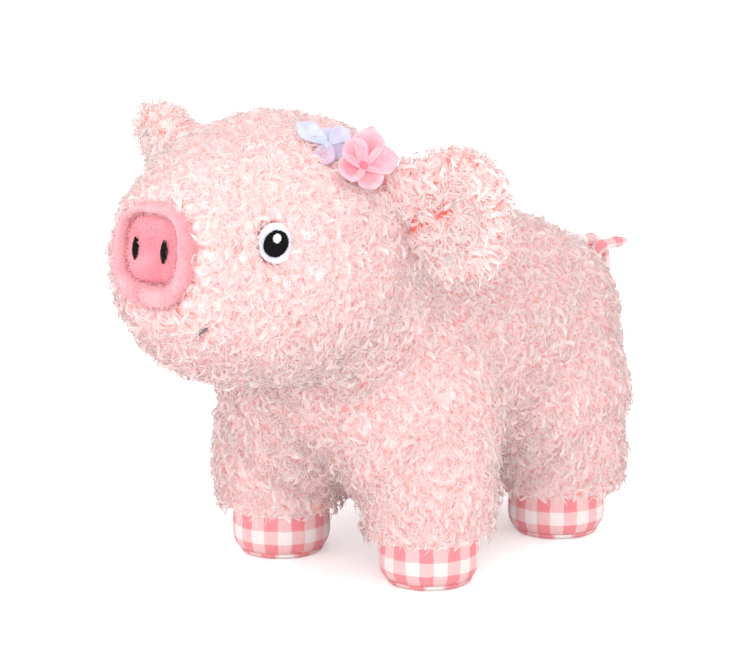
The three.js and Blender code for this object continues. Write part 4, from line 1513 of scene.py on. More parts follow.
@dataclass
class Snout:
    """A velour ring, padded and folded at one place below, round a sunken pad with two stitched nostrils."""

    half_width: float = 18.9 * MM
    half_height: float = 21.4 * MM
    squareness: float = 2.5
    pad_half_width: float = 14.8 * MM
    pad_half_height: float = 14.6 * MM
    pad_squareness: float = 3.2
    pad_rise: float = 2.6 * MM
    pad_front: float = 1.6 * MM
    proud: float = 4.6 * MM
    seated: float = 8.6 * MM
    middle: float = 0.3 * MM
    cleft_shade_degrees: float = -101.0
    cleft_shade_width: float = 5.5
    cleft_shade_depth: float = 4.4 * MM

    def outer(self, turn: float) -> Vector:
        """Returns the ring's outer edge at a turn from the snout's own X."""
        return squared_oval(turn, self.half_width, self.half_height, self.squareness)

    def inner(self, turn: float) -> Vector:
        """Returns the pad's edge at a turn, before the pad is raised above the snout's middle."""
        return squared_oval(turn, self.pad_half_width, self.pad_half_height, self.pad_squareness)

    def clearing(self) -> Clearing:
        """Returns the oval that the pile of the head leaves for the snout."""
        middle, ahead = SNOUT_FRAME.translation.copy(), SNOUT_FRAME.to_3x3() @ UP
        half_width, half_height = self.half_width - 2.0 * MM, self.half_height - 2.0 * MM
        return Clearing(middle, ahead, half_width, half_height, margin=3.0 * MM, strength=1.3)

    def ring(self) -> bpy.types.Object:
        """Builds the ring: a hoop spun round the snout, then drawn out to its uneven width."""
        bm = bmesh.new()
        hoop = 10.0
        start = Matrix.Translation((hoop, 0, 0)) @ Matrix.Rotation(math.pi / 2, 4, "X")
        bmesh.ops.create_circle(bm, segments=18, radius=1.0, cap_ends=False, matrix=start)
        spun(bm, bm.verts[:] + bm.edges[:], 128)
        bmesh.ops.remove_doubles(bm, verts=bm.verts, dist=1e-5)
        for vert in bm.verts:
            turn = math.atan2(vert.co.y, vert.co.x)
            out, up = math.hypot(vert.co.x, vert.co.y) - hoop, vert.co.z
            outer, inner = self.outer(turn), self.inner(turn) + Vector((0.0, self.pad_rise))
            beside = math.degrees(math.remainder(turn - math.radians(self.cleft_shade_degrees), math.tau))
            fold = hump(beside, 0.0, self.cleft_shade_width)
            lap = hump(beside, 14.0, 13.0) * 1.3 - hump(beside, -12.0, 9.0) * 0.6
            flat = (outer + inner) / 2 + (outer - inner) / 2 * out
            flat += (outer - inner) * 0.05 * noise.noise(Vector((math.cos(turn), math.sin(turn), out)) * 2.1)
            flat -= (outer - inner) * 0.14 * fold * max(0.0, out)
            front = max(0.0, up)
            height = self.middle + up * (self.proud - self.middle if up > 0 else self.seated + self.middle)
            height += (lap * MM - fold * self.cleft_shade_depth) * front
            height += noise.noise(Vector((flat.x, flat.y, 0.0)) / (7 * MM)) * 0.5 * MM * front
            vert.co = Vector((flat.x, flat.y, height))
        bmesh.ops.recalc_face_normals(bm, faces=bm.faces)
        bmesh.ops.transform(bm, matrix=SNOUT_FRAME, verts=bm.verts)
        return subdivided(object_from(bm, "snout_ring_velour"), 1)

    def pad(self) -> bpy.types.Object:
        """Builds the pad, crowned a little in its middle and tucked in under the ring."""
        front = ((0.97, -3.6), (0.93, -1.5), (0.82, -0.45), (0.66, 0), (0.45, 0.25), (0.22, 0.4), (0.0, 0.45))
        side = [(0.0, -self.seated), (0.86, -self.seated), (0.97, -self.seated * 0.5)]
        bm = turned(side + [(share, self.pad_front + rise * MM) for share, rise in front], 72)
        for vert in bm.verts:
            share = math.hypot(vert.co.x, vert.co.y)
            if share < 1e-6:
                continue
            flat = self.inner(math.atan2(vert.co.y, vert.co.x)) * share
            height = vert.co.z
            if height > 0:
                height += noise.noise(Vector((flat.x, flat.y, 3.0 * MM)) / (9 * MM)) * 0.45 * MM
            vert.co = Vector((flat.x, flat.y + self.pad_rise, height))
        bmesh.ops.transform(bm, matrix=SNOUT_FRAME, verts=bm.verts)
        return subdivided(object_from(bm, "snout_pad_velour"), 1)

    def build(self) -> None:
        """Builds and dresses the ring, the pad and the nostrils."""
        for piece, finish, nap, slot, node in (
            (self.ring(), RING_VELOUR, RING_FUZZ, "velour", "snout_ring"),
            (self.pad(), PAD_VELOUR, PAD_FUZZ, "deep_velour", "snout_pad"),
        ):
            Wardrobe.settle(piece, finish, slot, fill=0.8, node=node)
            fuzz = Fuzz().grow(f"{node}_fuzz", piece)
            fuzz.visible_shadow = False
            Wardrobe.settle(fuzz, nap, slot)
        stitch = SatinStitch(1.75 * MM, 5.5 * MM, 0.9 * MM, pointed=True)
        for side in Side:
            node = f"nostril_{side.word}"
            seed = 30 + side.value
            stitch.build(f"{node}_stitches", seat_of(node), seed, BLACK_THREAD, "black_thread", node)


def squared_oval(turn: float, half_width: float, half_height: float, squareness: float) -> Vector:
    """Returns a point of an oval that is squared off by a power, 2 being a true oval."""
    x, y = math.cos(turn), math.sin(turn)
    power = 2 / squareness
    wide, high = abs(x) ** power * half_width, abs(y) ** power * half_height
    return Vector((math.copysign(wide, x), math.copysign(high, y)))


def hump(place: float, middle: float, width: float) -> float:
    """Returns a smooth rise from zero to one and back round a middle."""
    return math.exp(-(((place - middle) / width) ** 2))


@dataclass
class Eye:
    """A white felt oval sunk in the pile, with an embroidered pupil and highlight."""

    side: Side
    half_width: float = 8.2 * MM
    half_height: float = 8.6 * MM
    thickness: float = 1.4 * MM
    ahead: float = 0.8 * MM
    pupil: SatinStitch = SatinStitch(5.6 * MM, 5.4 * MM, 1.0 * MM)
    highlight: SatinStitch = SatinStitch(1.8 * MM, 1.8 * MM, 0.8 * MM)

    def clearing(self) -> Clearing:
        """Returns the oval that the pile of the head leaves for the eye."""
        seat = seat_of(f"eye_white_{self.side.word}")
        normal = seat.to_3x3() @ UP
        middle = seat.translation + normal * 3.0 * MM + Vector((0.0, -1.0 * MM, 0.0))
        half_width, half_height = self.half_width - 1.2 * MM, self.half_height - 0.5 * MM
        return Clearing(middle, normal, half_width, half_height, strength=1.5, shorten=0.2)

    def felt(self) -> bpy.types.Object:
        """Cuts the felt oval, a little crowned, with a soft uneven edge."""
        wide, half = self.half_width, self.thickness / 2
        back = [(0.0, -half), (wide * 0.7, -half), (wide - 0.3 * MM, -half), (wide, -0.2 * MM)]
        edge = [(wide - 0.05 * MM, half * 0.55), (wide - 0.5 * MM, half)]
        front = [(wide * share, half + rise * MM) for share, rise in ((0.75, 0.25), (0.4, 0.4), (0.0, 0.45))]
        bm = turned(back + edge + front, 56)
        for vert in bm.verts:
            rough = noise.noise(Vector(vert.co) / (2.5 * MM)) * 0.12 * MM
            vert.co += vert.co.normalized() * rough
        seat = seat_of(f"eye_white_{self.side.word}")
        size = Matrix.Diagonal((1.0, self.half_height / wide, 1.0, 1.0))
        bmesh.ops.transform(bm, matrix=seat @ size, verts=bm.verts)
        return subdivided(object_from(bm, f"eye_felt_{self.side.word}"), 1)

    def build(self) -> None:
        """Builds and dresses the felt, the pupil and the highlight."""
        word = self.side.word
        felt = self.felt()
        Wardrobe.settle(felt, EYE_FELT, "white_felt")
        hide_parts(f"eye_white_{word}")
        for stitch, node, name, finish, slot, lift in (
            (self.pupil, "pupil", "pupil", BLACK_THREAD, "black_thread", 0.35 * MM),
            (self.highlight, "eye_highlight", "highlight", WHITE_THREAD, "white_thread", 0.55 * MM),
        ):
            raised = seat_of(f"{node}_{word}") @ Matrix.Translation((0.0, 0.0, lift))
            place = Matrix.Translation((0.0, -self.ahead, 0.0)) @ raised
            seed = 40 + self.side.value
            stitch.build(f"{name}_{word}_stitches", place, seed, finish, slot, f"{node}_{word}")


@dataclass
class Mouth:
    """A line of grey backstitches that shows only here and there between the curls."""

    half_width: float = 21.4 * MM
    drop: float = 28.5 * MM
    sag: float = 7.0 * MM
    stitches: int = 15
    shown: float = 0.95
    depths: tuple = ((-1.0, 0.55, 0.8, 1.0), (5.2, 5.2, 2.2, 1.0))
    girth: float = 0.8 * MM
    nearest_from: float = 0.07
    lap: tuple = ((-0.1, -0.5, 0.35), (0.2, 0.1, 0.8), (0.5, 0.3, 0.9), (0.8, 0.1, 0.8), (1.1, -0.5, 0.35))

    def path(self) -> list[Vector]:
        """Finds the thread's middle line on the CAD thread."""
        thread = merged_copy(["mouth_stitching"])
        tree = BVHTree.FromBMesh(thread)
        thread.free()
        ahead = HEAD_FRAME.to_3x3() @ Vector((0.0, 1.0, 0.0))
        made = []
        for i in range(self.stitches + 1):
            share = 2 * i / self.stitches - 1
            drop = self.drop + self.sag * (1 - share * share)
            start = HEAD_FRAME @ Vector((share * self.half_width, -RAY_START, -drop))
            hit = tree.ray_cast(start, ahead)[0] or tree.find_nearest(start + ahead * self.nearest_from)[0]
            made.append(hit + ahead * float(np.interp(share, *self.depths)) * MM)
        return made

    def clearing(self) -> Clearing:
        """Returns the small place where the curls part over the stitches."""
        point = self.path()[round((self.shown + 1) / 2 * self.stitches)]
        normal = (point - HEAD_FRAME.translation).normalized()
        return Clearing(point, normal, 2.0 * MM, 1.4 * MM, margin=2.5 * MM, strength=0.6, shorten=0.2)

    def build(self) -> None:
        """Builds the stitches, each one lapping the next."""
        bm = bmesh.new()
        path = self.path()
        for before, after in zip(path, path[1:]):
            along = after - before
            out = (before - HEAD_FRAME.translation).normalized()
            steps = [before + along * share + out * rise * MM for share, rise, _ in self.lap]
            radii = [size * MM for _, _, size in self.lap]
            scale = (math.tau * self.girth, along.length)
            Rings(steps, radii, 8, map_name=CLOTH_UV, map_scale=scale).draw(bm)
        piece = object_from(bm, "mouth_backstitches")
        Wardrobe.settle(piece, GREY_THREAD, "grey_thread", node="mouth_stitching")


@dataclass
class Parting:
    """A line on an ear along which the pile parts and its deep pink ground shows: a real parting, and painted
    shade in the ear's crease.
    """

    path: Sequence[Vector]
    half_width: float = 2.4 * MM
    neck_share: float = 0.1
    patches: int = 3
    margin: float = 4.0 * MM
    strength: float = 1.3
    shorten: float = 0.3

    def measure(self, points: np.ndarray) -> tuple[np.ndarray, np.ndarray, np.ndarray]:
        """Measures points against the line, as Clearing.measure does against its oval."""
        line = np.array([p[:] for p in curve_through(self.path, 40)])
        offset = points[:, None] - line[None]
        distance = np.linalg.norm(offset, axis=2)
        nearest = distance.argmin(1)
        rows = np.arange(len(points))
        away = units(offset[rows, nearest] + 1e-9)
        least = distance[rows, nearest]
        lobes = np.abs(np.sin(math.pi * self.patches * nearest / (len(line) - 1)))
        width = self.half_width * (self.neck_share + (1 - self.neck_share) * lobes)
        near = np.clip(1 - (least - width) / self.margin, 0, 1)
        return least / width, away, near


@dataclass
class Ear:
    """A floppy ear of two plush panels, hinged along its root."""

    side: Side
    body: Body
    sweep: float
    length: float = 50.0 * MM
    half_width: float = 31.0 * MM
    cup: float = 9.0 * MM
    thin: float = 0.42
    shrink: float = 0.9
    root: float = 6.0 * MM
    lump: float = 1.6 * MM
    crease: tuple = ((-6.0, -20.0), (0.0, -15.5), (11.0, -4.5), (17.5, -0.5), (26.0, 4.5))
    wads: Wads = Wads(rise=1.8 * MM, relief=2.4 * MM)

    def place(self) -> Matrix:
        """Returns the ear's own frame: X from its root to its tip, Y up across it, Z ahead."""
        pivot = HEAD_FRAME @ Vector((self.side.value * 53.0 * MM, 25.0 * MM, 23.0 * MM))
        turn = Matrix.Identity(4)
        for degrees, axis in ((self.sweep, "Z"), (5.0, "Y"), (14.0, "X"), (90.0, "X")):
            turn = turn @ Matrix.Rotation(math.radians(degrees), 4, axis)
        return Matrix.Translation(pivot) @ Matrix.Diagonal((self.side.value, 1.0, 1.0, 1.0)) @ turn

    def skin(self, panel: str) -> bpy.types.Object:
        """Makes the knitted ground of one panel, thinner and smaller than the panel with its pile."""
        node = f"ear_{panel}_{self.side.word}"
        piece = object_from(merged_copy([node]), f"{node}_skin")
        remeshed(piece, 1.5 * MM)
        smoothed(piece, 2)
        place = self.place()
        back = place.inverted()
        local = coordinates(piece.data) @ np.array(back.to_3x3()).T + np.array(back.translation)
        x, y, z = local.T
        middle = self.cup * (y / self.half_width) ** 2 * np.clip(x / self.length, 0, 1)
        x = self.root + (x - self.root) * np.where(x > self.root, self.shrink, 1.0)
        lumps = wobble(local, 16 * MM, 7.0 + self.side.value)[:, 2] * self.lump
        z = middle + (z - middle) * self.thin + lumps * np.clip(x / self.length, 0, 1)
        local = np.stack([x, y * self.shrink, z], 1)
        set_coordinates(piece.data, local @ np.array(place.to_3x3()).T + np.array(place.translation))
        smoothed(piece, 2)
        Wardrobe.settle(piece, EAR_BACKING, "curled_plush", self.body, fill=0.5, node=node)
        return piece

    def build(self, head: PlushForm) -> None:
        """Builds both panels and the pile on them, which falls outwards and down."""
        place = self.place()
        ahead = np.array(place.to_3x3() @ UP)
        outward = np.array(place.to_3x3() @ Vector((1.0, 0.0, 0.0)))
        # The parting along the crease shows the deep pink ground: a real parting of the pile, and painted
        # shade in the crease.
        line = [place @ Vector((x * MM, y * MM, 2.5 * MM)) for x, y in self.crease]
        for number, (panel, sign) in enumerate((("front", 1), ("back", -1))):
            skin = self.skin(panel)
            partings = [Parting(line)] if panel == "front" else []

            def outside(points: np.ndarray, normals: np.ndarray) -> np.ndarray:
                """Tells how much pile stands at each point: none between the panels."""
                return np.clip((normals @ ahead * sign + 0.8) / 0.3, 0, 1)

            def hidden(points: np.ndarray, normals: np.ndarray) -> np.ndarray:
                """Tells which roots lie between the panels or in the head."""
                return (normals @ ahead * sign < -0.55) | held(points, [head], 1.0 * MM)

            name = f"ear_{panel}_{self.side.word}"
            undercoat = self.wads.build(name, skin, partings, outside, EAR_MATTING, self.body)
            pile = Pile(
                spacing=2.6 * MM,
                length=7.4 * MM,
                wisp_length=6.5 * MM,
                fall=1.0,
                swirl=0.75,
                lean=24,
                seed=50 + 2 * number + self.side.value,
            )
            falls = outward * 0.55 + np.array((0.0, 0.0, -0.75))
            Comb.lay(name, pile.grow(undercoat, partings, hidden, falls), EAR_PLUSH, self.body)


@dataclass(frozen=True)
class Petal:
    """One felt petal: its turn round the stem, its lift off the head, and how it folds and curls."""

    turn: float
    lift: float
    length: float
    half_width: float
    fold: float
    curl: float = 0.0
    tint: float = 0.0

    def draw(self, seat: Matrix, root: float) -> bmesh.types.BMesh:
        """Draws the petal as one layer, from the stem outwards."""
        bm = bmesh.new()
        bmesh.ops.create_grid(bm, x_segments=10, y_segments=8, size=1.0)
        tint = bm.verts.layers.float.new(TINT)
        for vert in bm.verts:
            along, across = (vert.co.x + 1) / 2, vert.co.y
            wide = float(np.interp(along, *PETAL_OUTLINE))
            reach = along - along**3 * across**2 * 0.16
            ripple = noise.noise(Vector((along * 2.0, across * 1.4, self.turn))) * 0.9 * MM * along
            rolled = self.fold * (across**2 * 1.5 - 0.5) * math.sin(math.pi * min(1.0, along + 0.2)) ** 0.5
            height = rolled * wide + self.curl * along**2 + ripple
            vert.co = Vector((root + reach * (self.length - root), across * wide * self.half_width, height))
            vert[tint] = self.tint
        turn = Matrix.Rotation(math.radians(self.turn), 4, "Z")
        turn = turn @ Matrix.Rotation(-math.radians(self.lift), 4, "Y")
        bmesh.ops.transform(bm, matrix=seat @ turn, verts=bm.verts)
        return bm


PETAL_OUTLINE = ((0.0, 0.25, 0.5, 0.72, 0.88, 0.97, 1.0), (0.34, 0.66, 0.92, 1.0, 0.84, 0.55, 0.38))
PINK_PETALS = (
    Petal(318, 30, 18.0 * MM, 7.0 * MM, 4.6 * MM, 1.4 * MM),
    Petal(18, 44, 16.0 * MM, 6.0 * MM, 4.6 * MM, 1.0 * MM),
    Petal(92, 34, 16.0 * MM, 6.4 * MM, 4.8 * MM, 1.0 * MM),
    Petal(168, 26, 15.0 * MM, 6.0 * MM, 4.4 * MM, 0.8 * MM),
    Petal(243, 30, 17.0 * MM, 6.6 * MM, 4.6 * MM, 1.2 * MM),
)
BLUE_PETALS = (
    Petal(24, 18, 16.0 * MM, 4.8 * MM, 2.0 * MM, 0.5 * MM, 0.0),
    Petal(318, -14, 10.0 * MM, 4.4 * MM, 2.0 * MM, -0.6 * MM, 0.3),
    Petal(128, 16, 12.5 * MM, 4.8 * MM, 2.4 * MM, -0.6 * MM, 0.9),
    Petal(186, -6, 9.0 * MM, 4.4 * MM, 2.4 * MM, 0.0, 0.45),
    Petal(262, 8, 11.0 * MM, 4.6 * MM, 2.4 * MM, 0.0, 0.2),
)


@dataclass
class Flower:
    """Felt petals gathered on a short stem that is sewn to the head."""

    node: str
    seat: Matrix
    petals: Sequence[Petal]
    finish: Felt
    slot: str
    stem_radius: float = 3.2 * MM
    stem_height: float = 5.0 * MM
    felt: float = 1.2 * MM
    tilt: float = 34.0

    def clearing(self) -> Clearing:
        """Returns the place under the flower where the pile is pressed short."""
        middle, out = self.seat.translation.copy(), self.seat.to_3x3() @ UP
        return Clearing(middle, out, self.stem_radius, self.stem_radius, strength=0.8)

    def opening(self) -> Matrix:
        """Returns the frame that the petals spread from, tipped forward on the stem."""
        tip = Matrix.Rotation(-math.radians(self.tilt), 4, "X")
        return self.seat @ Matrix.Translation((0.0, 0.0, self.stem_height * 0.7)) @ tip

    def build(self) -> None:
        """Builds the petals and the stem as one piece."""
        raised = self.opening()
        whole = bmesh.new()
        for petal in self.petals:
            layer = object_from(petal.draw(raised, self.stem_radius * 0.3), "petal")
            absorb(whole, thickened(layer, self.felt, 0.0))
        wide, top, low = self.stem_radius, self.stem_height, -2.0 * MM
        stem = turned([(0.0, low), (wide, low), (wide, top * 0.7), (wide * 0.8, top), (0.0, top)], 16)
        bmesh.ops.transform(stem, matrix=self.seat, verts=stem.verts)
        absorb(whole, object_from(stem, "stem"))
        piece = subdivided(object_from(whole, f"{self.node}_felt"), 1)
        Wardrobe.settle(piece, self.finish, self.slot, fill=0.1, node=self.node)


def flower_seat(side: float, back: float) -> Matrix:
    """Finds the seat on the head's outer surface below a point of the head's own frame."""
    cover = merged_copy(["head_cover"])
    tree = BVHTree.FromBMesh(cover)
    cover.free()
    down = HEAD_FRAME.to_3x3() @ Vector((0.0, 0.0, -1.0))
    point, normal, _, _ = tree.ray_cast(HEAD_FRAME @ Vector((side, back, RAY_START)), down)
    if normal.dot(down) > 0:
        normal.negate()
    return framed(point, normal, Vector((0.0, -1.0, 0.0)))


def flower_centre(opening: Matrix) -> None:
    """Builds a deep pink button on the frame that the petals spread from: painted shade where the petals
    gather.
    """
    profile = ((0.0, -1.5), (1.6, -1.5), (2.1, -0.8), (2.1, 0.2), (1.5, 0.9), (0.0, 1.2))
    bm = turned([(radius * MM, height * MM) for radius, height in profile], 20)
    for vert in bm.verts:
        vert.co *= 1 + 0.12 * noise.noise(Vector(vert.co) / (1.6 * MM))
    bmesh.ops.transform(bm, matrix=opening @ Matrix.Translation((0.0, 0.0, 1.6 * MM)), verts=bm.verts)
    piece = subdivided(object_from(bm, "pink_flower_button"), 1)
    Wardrobe.settle(piece, CENTRE_SHADE_FELT, "deep_pink_felt", fill=0.4, node="pink_flower_centre")


# Radius and height in millimetres: the cuff's above its seam, the sole's above the floor.
CUFF_PROFILE = ((19.3, -0.4), (20.5, 0.6), (21.6, 2.6), (22.4, 5.4), (22.6, 9.0), (22.3, 13.0), (22.0, 18.0))
SOLE_PROFILE = ((0.0, 0.0), (9.0, 0.0), (16.0, 0.05), (18.2, 0.5), (19.3, 1.4), (19.6, 2.4), (18.9, 2.9))
FOOT_STEPS = 136


@dataclass
class Foot:
    """A gingham cuff and sole, gathered at the seam between them."""

    corner: str
    centre: Vector
    seed: int
    radius: float = 22.2 * MM
    top: float = 26.8 * MM
    seam: float = 2.9 * MM
    cloth: float = 0.9 * MM
    puckers: int = 34

    def pucker(self, vert: bmesh.types.BMVert, fade: float) -> None:
        """Draws a point of the cloth in or out as the gathers at the seam do."""
        turn = math.atan2(vert.co.y, vert.co.x)
        shift = noise.noise(Vector((math.cos(turn), math.sin(turn), self.seed)) * 2.0)
        wave = math.sin(turn * self.puckers + shift * 9) * 0.26 + shift * 0.7
        scale = 1 + wave * fade * MM / self.radius
        vert.co.x *= scale
        vert.co.y *= scale
        vert.co.z += wave * fade * 0.45 * MM if vert.co.z > 1.0 * MM else 0.0

    def mapped(self, bm: bmesh.types.BMesh, lengths: dict[float, float]) -> None:
        """Gives the cuff a map in metres round it and up it."""
        uv = bm.loops.layers.uv.new(CLOTH_UV)
        for face in bm.faces:
            turns = [math.atan2(v.co.y, v.co.x) % math.tau for v in face.verts]
            wraps = max(turns) - min(turns) > math.pi
            for loop in face.loops:
                turn = math.atan2(loop.vert.co.y, loop.vert.co.x) % math.tau
                turn += math.tau if wraps and turn < math.pi else 0.0
                loop[uv].uv = ((turn + self.seed) * self.radius, lengths[round(loop.vert.co.z, 7)])

    def cuff(self) -> bpy.types.Object:
        """Builds the cuff: a band that rounds in to the seam."""
        corners = [(radius * MM, self.seam + rise * MM) for radius, rise in CUFF_PROFILE]
        corners.append((corners[-1][0], self.top))
        bm = turned_shell(corners, FOOT_STEPS)
        lengths, total = {}, 0.0
        for before, after in zip([corners[0], *corners], corners):
            total += math.dist(before, after)
            lengths[round(after[1], 7)] = total
        self.mapped(bm, lengths)
        for vert in bm.verts:
            rise = (vert.co.z - self.seam) / (9 * MM)
            self.pucker(vert, max(0.0, 1 - rise) ** 1.5 + 0.25)
        bmesh.ops.translate(bm, vec=self.centre, verts=bm.verts)
        piece = object_from(bm, f"cuff_{self.corner}_cloth")
        return subdivided(thickened(piece, self.cloth, -1.0), 1)

    def sole(self) -> bpy.types.Object:
        """Builds the sole: a round of cloth turned up to the seam."""
        bm = turned_shell([(radius * MM, height * MM) for radius, height in SOLE_PROFILE], FOOT_STEPS)
        uv = bm.loops.layers.uv.new(CLOTH_UV)
        for face in bm.faces:
            for loop in face.loops:
                loop[uv].uv = loop.vert.co.xy + Vector((1.0, 1.0)) * self.radius
        for vert in bm.verts:
            if vert.co.z > 0.3 * MM:
                self.pucker(vert, 0.8)
        bmesh.ops.translate(bm, vec=self.centre, verts=bm.verts)
        return thickened(object_from(bm, f"sole_{self.corner}_cloth"), self.cloth, -1.0)

    def build(self) -> None:
        """Builds and dresses the cuff and the sole."""
        for kind, piece in (("cuff", self.cuff()), ("sole", self.sole())):
            Wardrobe.settle(piece, GINGHAM, "gingham_cotton", fill=0.9, node=f"{kind}_{self.corner}")


def turned_shell(corners: Sequence[tuple[float, float]], steps: int) -> bmesh.types.BMesh:
    """Spins a profile round Z into one open layer of cloth that faces outwards."""
    bm = turned(corners, steps)
    middle = sum((v.co for v in bm.verts), Vector()) / len(bm.verts)
    outward = sum(f.normal.dot(f.calc_center_median() - middle) * f.calc_area() for f in bm.faces)
    if outward < 0:
        bmesh.ops.reverse_faces(bm, faces=bm.faces)
    return bm


@dataclass
class Tail:
    """A stuffed gingham tube that leaves the rump, turns one curl and ends in a stitched tip."""

    root_place: Vector = field(default_factory=lambda: Vector((0.0, 120.958 * MM, 121.6 * MM)))
    radius: float = 4.5 * MM
    tip_radius: float = 3.0 * MM
    overlap: float = 7.0 * MM
    reach: float = 36.0 * MM
    curl_radius: float = 8.5 * MM
    pitch: float = 10.0 * MM
    tip_length: float = 15.0 * MM
    curl_start: float = 4.0 * MM
    curl_points: int = 6
    tip_side: float = 16.0 * MM
    tip_rise: float = -0.5 * MM
    straight_shares: tuple = ((0.33, 0.16, 0.0), (0.67, 0.1, 0.6))

    def path(self) -> list[Vector]:
        """Returns the middle line of the tube."""
        straight = [Vector((0.0, -self.overlap, 0.0))]
        for along, up, aside in self.straight_shares:
            straight.append(Vector((aside * self.curl_start, along * self.reach, up * self.curl_radius)))
        curl = []
        for i in range(self.curl_points):
            share = (i + 0.5) / self.curl_points
            ahead = self.reach + math.sin(math.tau * share) * self.curl_radius
            height = (math.cos(math.tau * share) - 1) * self.curl_radius
            curl.append(Vector((self.curl_start + self.pitch * share, ahead, height)))
        tip = Vector((self.tip_side, self.reach + self.tip_length, self.tip_rise))
        return [point + self.root_place for point in (*straight, *curl, tip)]

    def clearing(self) -> Clearing:
        """Returns the oval that the trunk's pile leaves for the tail."""
        middle, back = self.root_place + Vector((0.0, 0.0, 1.0 * MM)), Vector((0.0, 0.95, 0.3))
        return Clearing(middle, back, self.radius + 0.3 * MM, self.radius + 1.0 * MM)

    def build(self) -> None:
        """Builds the tube, puckered along its seam, and dresses it."""
        path = curve_through(self.path(), 84)
        length = sum((b - a).length for a, b in zip(path, path[1:]))
        radii = []
        for i in range(len(path)):
            share = i / (len(path) - 1)
            girth = self.radius + (self.tip_radius - self.radius) * share
            end = 1.0 if share < 0.96 else math.sqrt(max(0.15, 1 - ((share - 0.96) / 0.04) ** 2))
            radii.append(girth * end * (1 + 0.05 * math.sin(i * 1.3)))
        bm = bmesh.new()
        Rings(path, radii, 24, map_name=CLOTH_UV, map_scale=(math.tau * self.radius, length)).draw(bm)
        piece = object_from(bm, "tail_cloth")
        points, normals = coordinates(piece.data), vertex_normals(piece.data)
        folds = wobble(points, 5.0 * MM, 4.0)[:, 0] * 0.9 * MM
        set_coordinates(piece.data, points + normals * folds[:, None])
        subdivided(piece, 1)
        Wardrobe.settle(piece, GINGHAM, "gingham_cotton", Body.TAIL, fill=0.8, node="tail")


@dataclass
class Studio:
    """The photograph's viewpoint, a pale floor and soft light."""

    eye: Vector = field(default_factory=lambda: Vector((0.8178, -1.1156, 0.4034)))
    target: Vector = field(default_factory=lambda: Vector((0.0, -0.018417, 0.1076)))
    lens: float = 151.2
    floor_size: float = 6.0
    room: float = 0.7

    def aimed(self, name: str, data, place: Vector) -> bpy.types.Object:
        """Adds a camera or a lamp at a place, pointed at the pig."""
        made = linked(name, data)
        made.location = place
        made.rotation_euler = (self.target - place).to_track_quat("-Z", "Y").to_euler()
        return made

    def camera(self) -> None:
        """Places the camera at the photograph's angle."""
        data = bpy.data.cameras.new("photograph")
        data.lens = self.lens
        data.sensor_width = 36.0
        data.clip_start = 0.05
        bpy.context.scene.camera = self.aimed("photograph", data, self.eye)

    def light(self) -> None:
        """Lights the pig from above and both sides, with a white room round it."""
        for name, place, size, power in LAMPS:
            data = bpy.data.lights.new(name, "AREA")
            data.size = size
            data.energy = power
            self.aimed(name, data, Vector(place))
        world = bpy.data.worlds.new("white_room")
        world.use_nodes = True
        graph = Graph(world.node_tree)
        strength = graph.spread(graph.seen_straight(), 0.0, 1.0, self.room, 1.0)
        graph.feed(world.node_tree.nodes["Background"], {"Strength": strength, "Color": WHITE})
        bpy.context.scene.world = world

    def floor(self) -> None:
        """Lays the pale floor, which keeps the pig's shadow and fades into the white room round it."""
        bm = bmesh.new()
        bmesh.ops.create_grid(bm, x_segments=2, y_segments=2, size=self.floor_size / 2)
        floor = object_from(bm, "floor", smooth=False)
        pale = Cloth("pale_floor", 0.9)
        place = pale.object_place()
        grain = pale.ramp(pale.noise(place, 900.0, 2.0, 0.5), [(0.3, linear("#fcfcfc")), (0.7, WHITE)])
        away = pale.add("VectorMath", {0: place}, operation="LENGTH").outputs["Value"]
        fade = pale.spread(away, 0.12, 0.6, 0.3, 1.0, interpolation_type="SMOOTHSTEP")
        glow = pale.maths("MULTIPLY", pale.seen_straight(), fade)
        pale.feed(pale.surface, {"Base Color": grain, "Emission Strength": glow, "Emission Color": WHITE})
        floor.data.materials.append(pale.material)

    def build(self) -> None:
        """Builds the camera, the lamps, the room and the floor."""
        self.camera()
        self.light()
        self.floor()
        bpy.context.scene.view_settings.view_transform = "Standard"


# Each lamp's name, place, size and power in watts.
LAMPS = (
    ("key_lamp", (0.8, -1.3, 0.8), 1.1, 11.5),
    ("left_lamp", (-0.6, -1.6, 0.35), 1.1, 6.5),
    ("fill_lamp", (1.7, -0.2, 0.6), 1.0, 3.5),
    ("top_lamp", (0.1, 0.2, 1.7), 1.0, 4.8),
    ("back_lamp", (0.3, 1.5, 0.9), 1.2, 7.0),
    ("right_lamp", (-1.6, 0.1, 0.6), 1.1, 5.0),
)


FEET = (
    ("front_left", 41.8 * MM, -30.77 * MM),
    ("front_right", -41.8 * MM, -30.77 * MM),
    ("hind_left", 41.8 * MM, 72.23 * MM),
    ("hind_right", -41.8 * MM, 72.23 * MM),
)


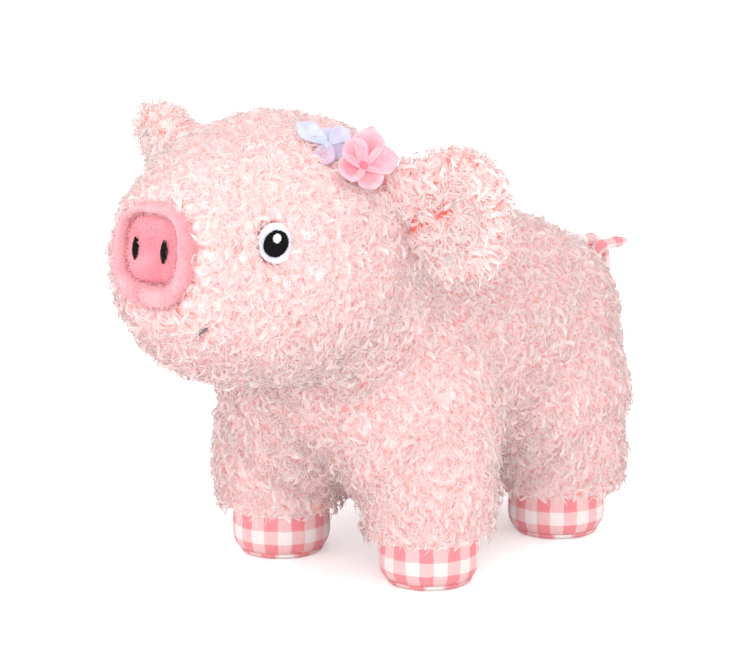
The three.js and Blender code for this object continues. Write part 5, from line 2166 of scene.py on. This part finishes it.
def main() -> None:
    """Builds the pig, sub-assembly by sub-assembly."""
    logging.basicConfig(level=logging.INFO, format="%(message)s")
    Studio().build()
    trunk = PlushForm("body", "body_cover", "body_stuffing", BODY_PLUSH, Pile(seed=11, swirl=1.0, fall=0.55))
    head_pile = Pile(seed=12, swirl=0.7)
    head = PlushForm("head", "head_cover", "head_stuffing", HEAD_PLUSH, head_pile, matting=HEAD_MATTING)
    legs = [
        PlushForm(
            f"leg_{corner}",
            f"leg_cover_{corner}",
            f"leg_stuffing_{corner}",
            BODY_PLUSH,
            Pile(seed=20 + i, fall=1.2, swirl=0.6),
            hem=30 * MM,
            foot_top=22.5 * MM,
            voxel=3.5 * MM,
        )
        for i, (corner, _, _) in enumerate(FEET)
    ]
    forms = [trunk, head, *legs]
    for form in forms:
        form.measure()
    snout, mouth, tail = Snout(), Mouth(), Tail()
    eyes = [Eye(side) for side in Side]
    pink_seat, blue_seat = flower_seat(46.0 * MM, 6.0 * MM), flower_seat(33.4 * MM, 0.0)
    flowers = [
        Flower("pink_flower", pink_seat, PINK_PETALS, PINK_FELT, "pink_felt"),
        Flower("blue_flower", blue_seat, BLUE_PETALS, BLUE_FELT, "blue_felt", stem_height=2.0 * MM),
    ]
    full = Wads(rise=2.8 * MM, relief=2.8 * MM)
    ears = [
        Ear(Side.LEFT, Body.EAR_LEFT, 26.0),
        Ear(Side.RIGHT, Body.EAR_RIGHT, 33.0, shrink=1.02, wads=full),
    ]
    for ear in ears:
        ear.build(head)
    head_clearings = [
        snout.clearing(),
        mouth.clearing(),
        *(eye.clearing() for eye in eyes),
        *(flower.clearing() for flower in flowers),
    ]
    trunk.dress([head, *legs], [tail.clearing()])
    head.dress([trunk], head_clearings)
    for leg in legs:
        leg.dress([trunk], [])
    snout.build()
    for part in (*eyes, mouth, *flowers, tail):
        part.build()
    flower_centre(flowers[0].opening())
    for i, (corner, x, y) in enumerate(FEET):
        Foot(corner, Vector((x, y, 0.0)), 0.7 * i).build()


if __name__ == "__main__":
    main()
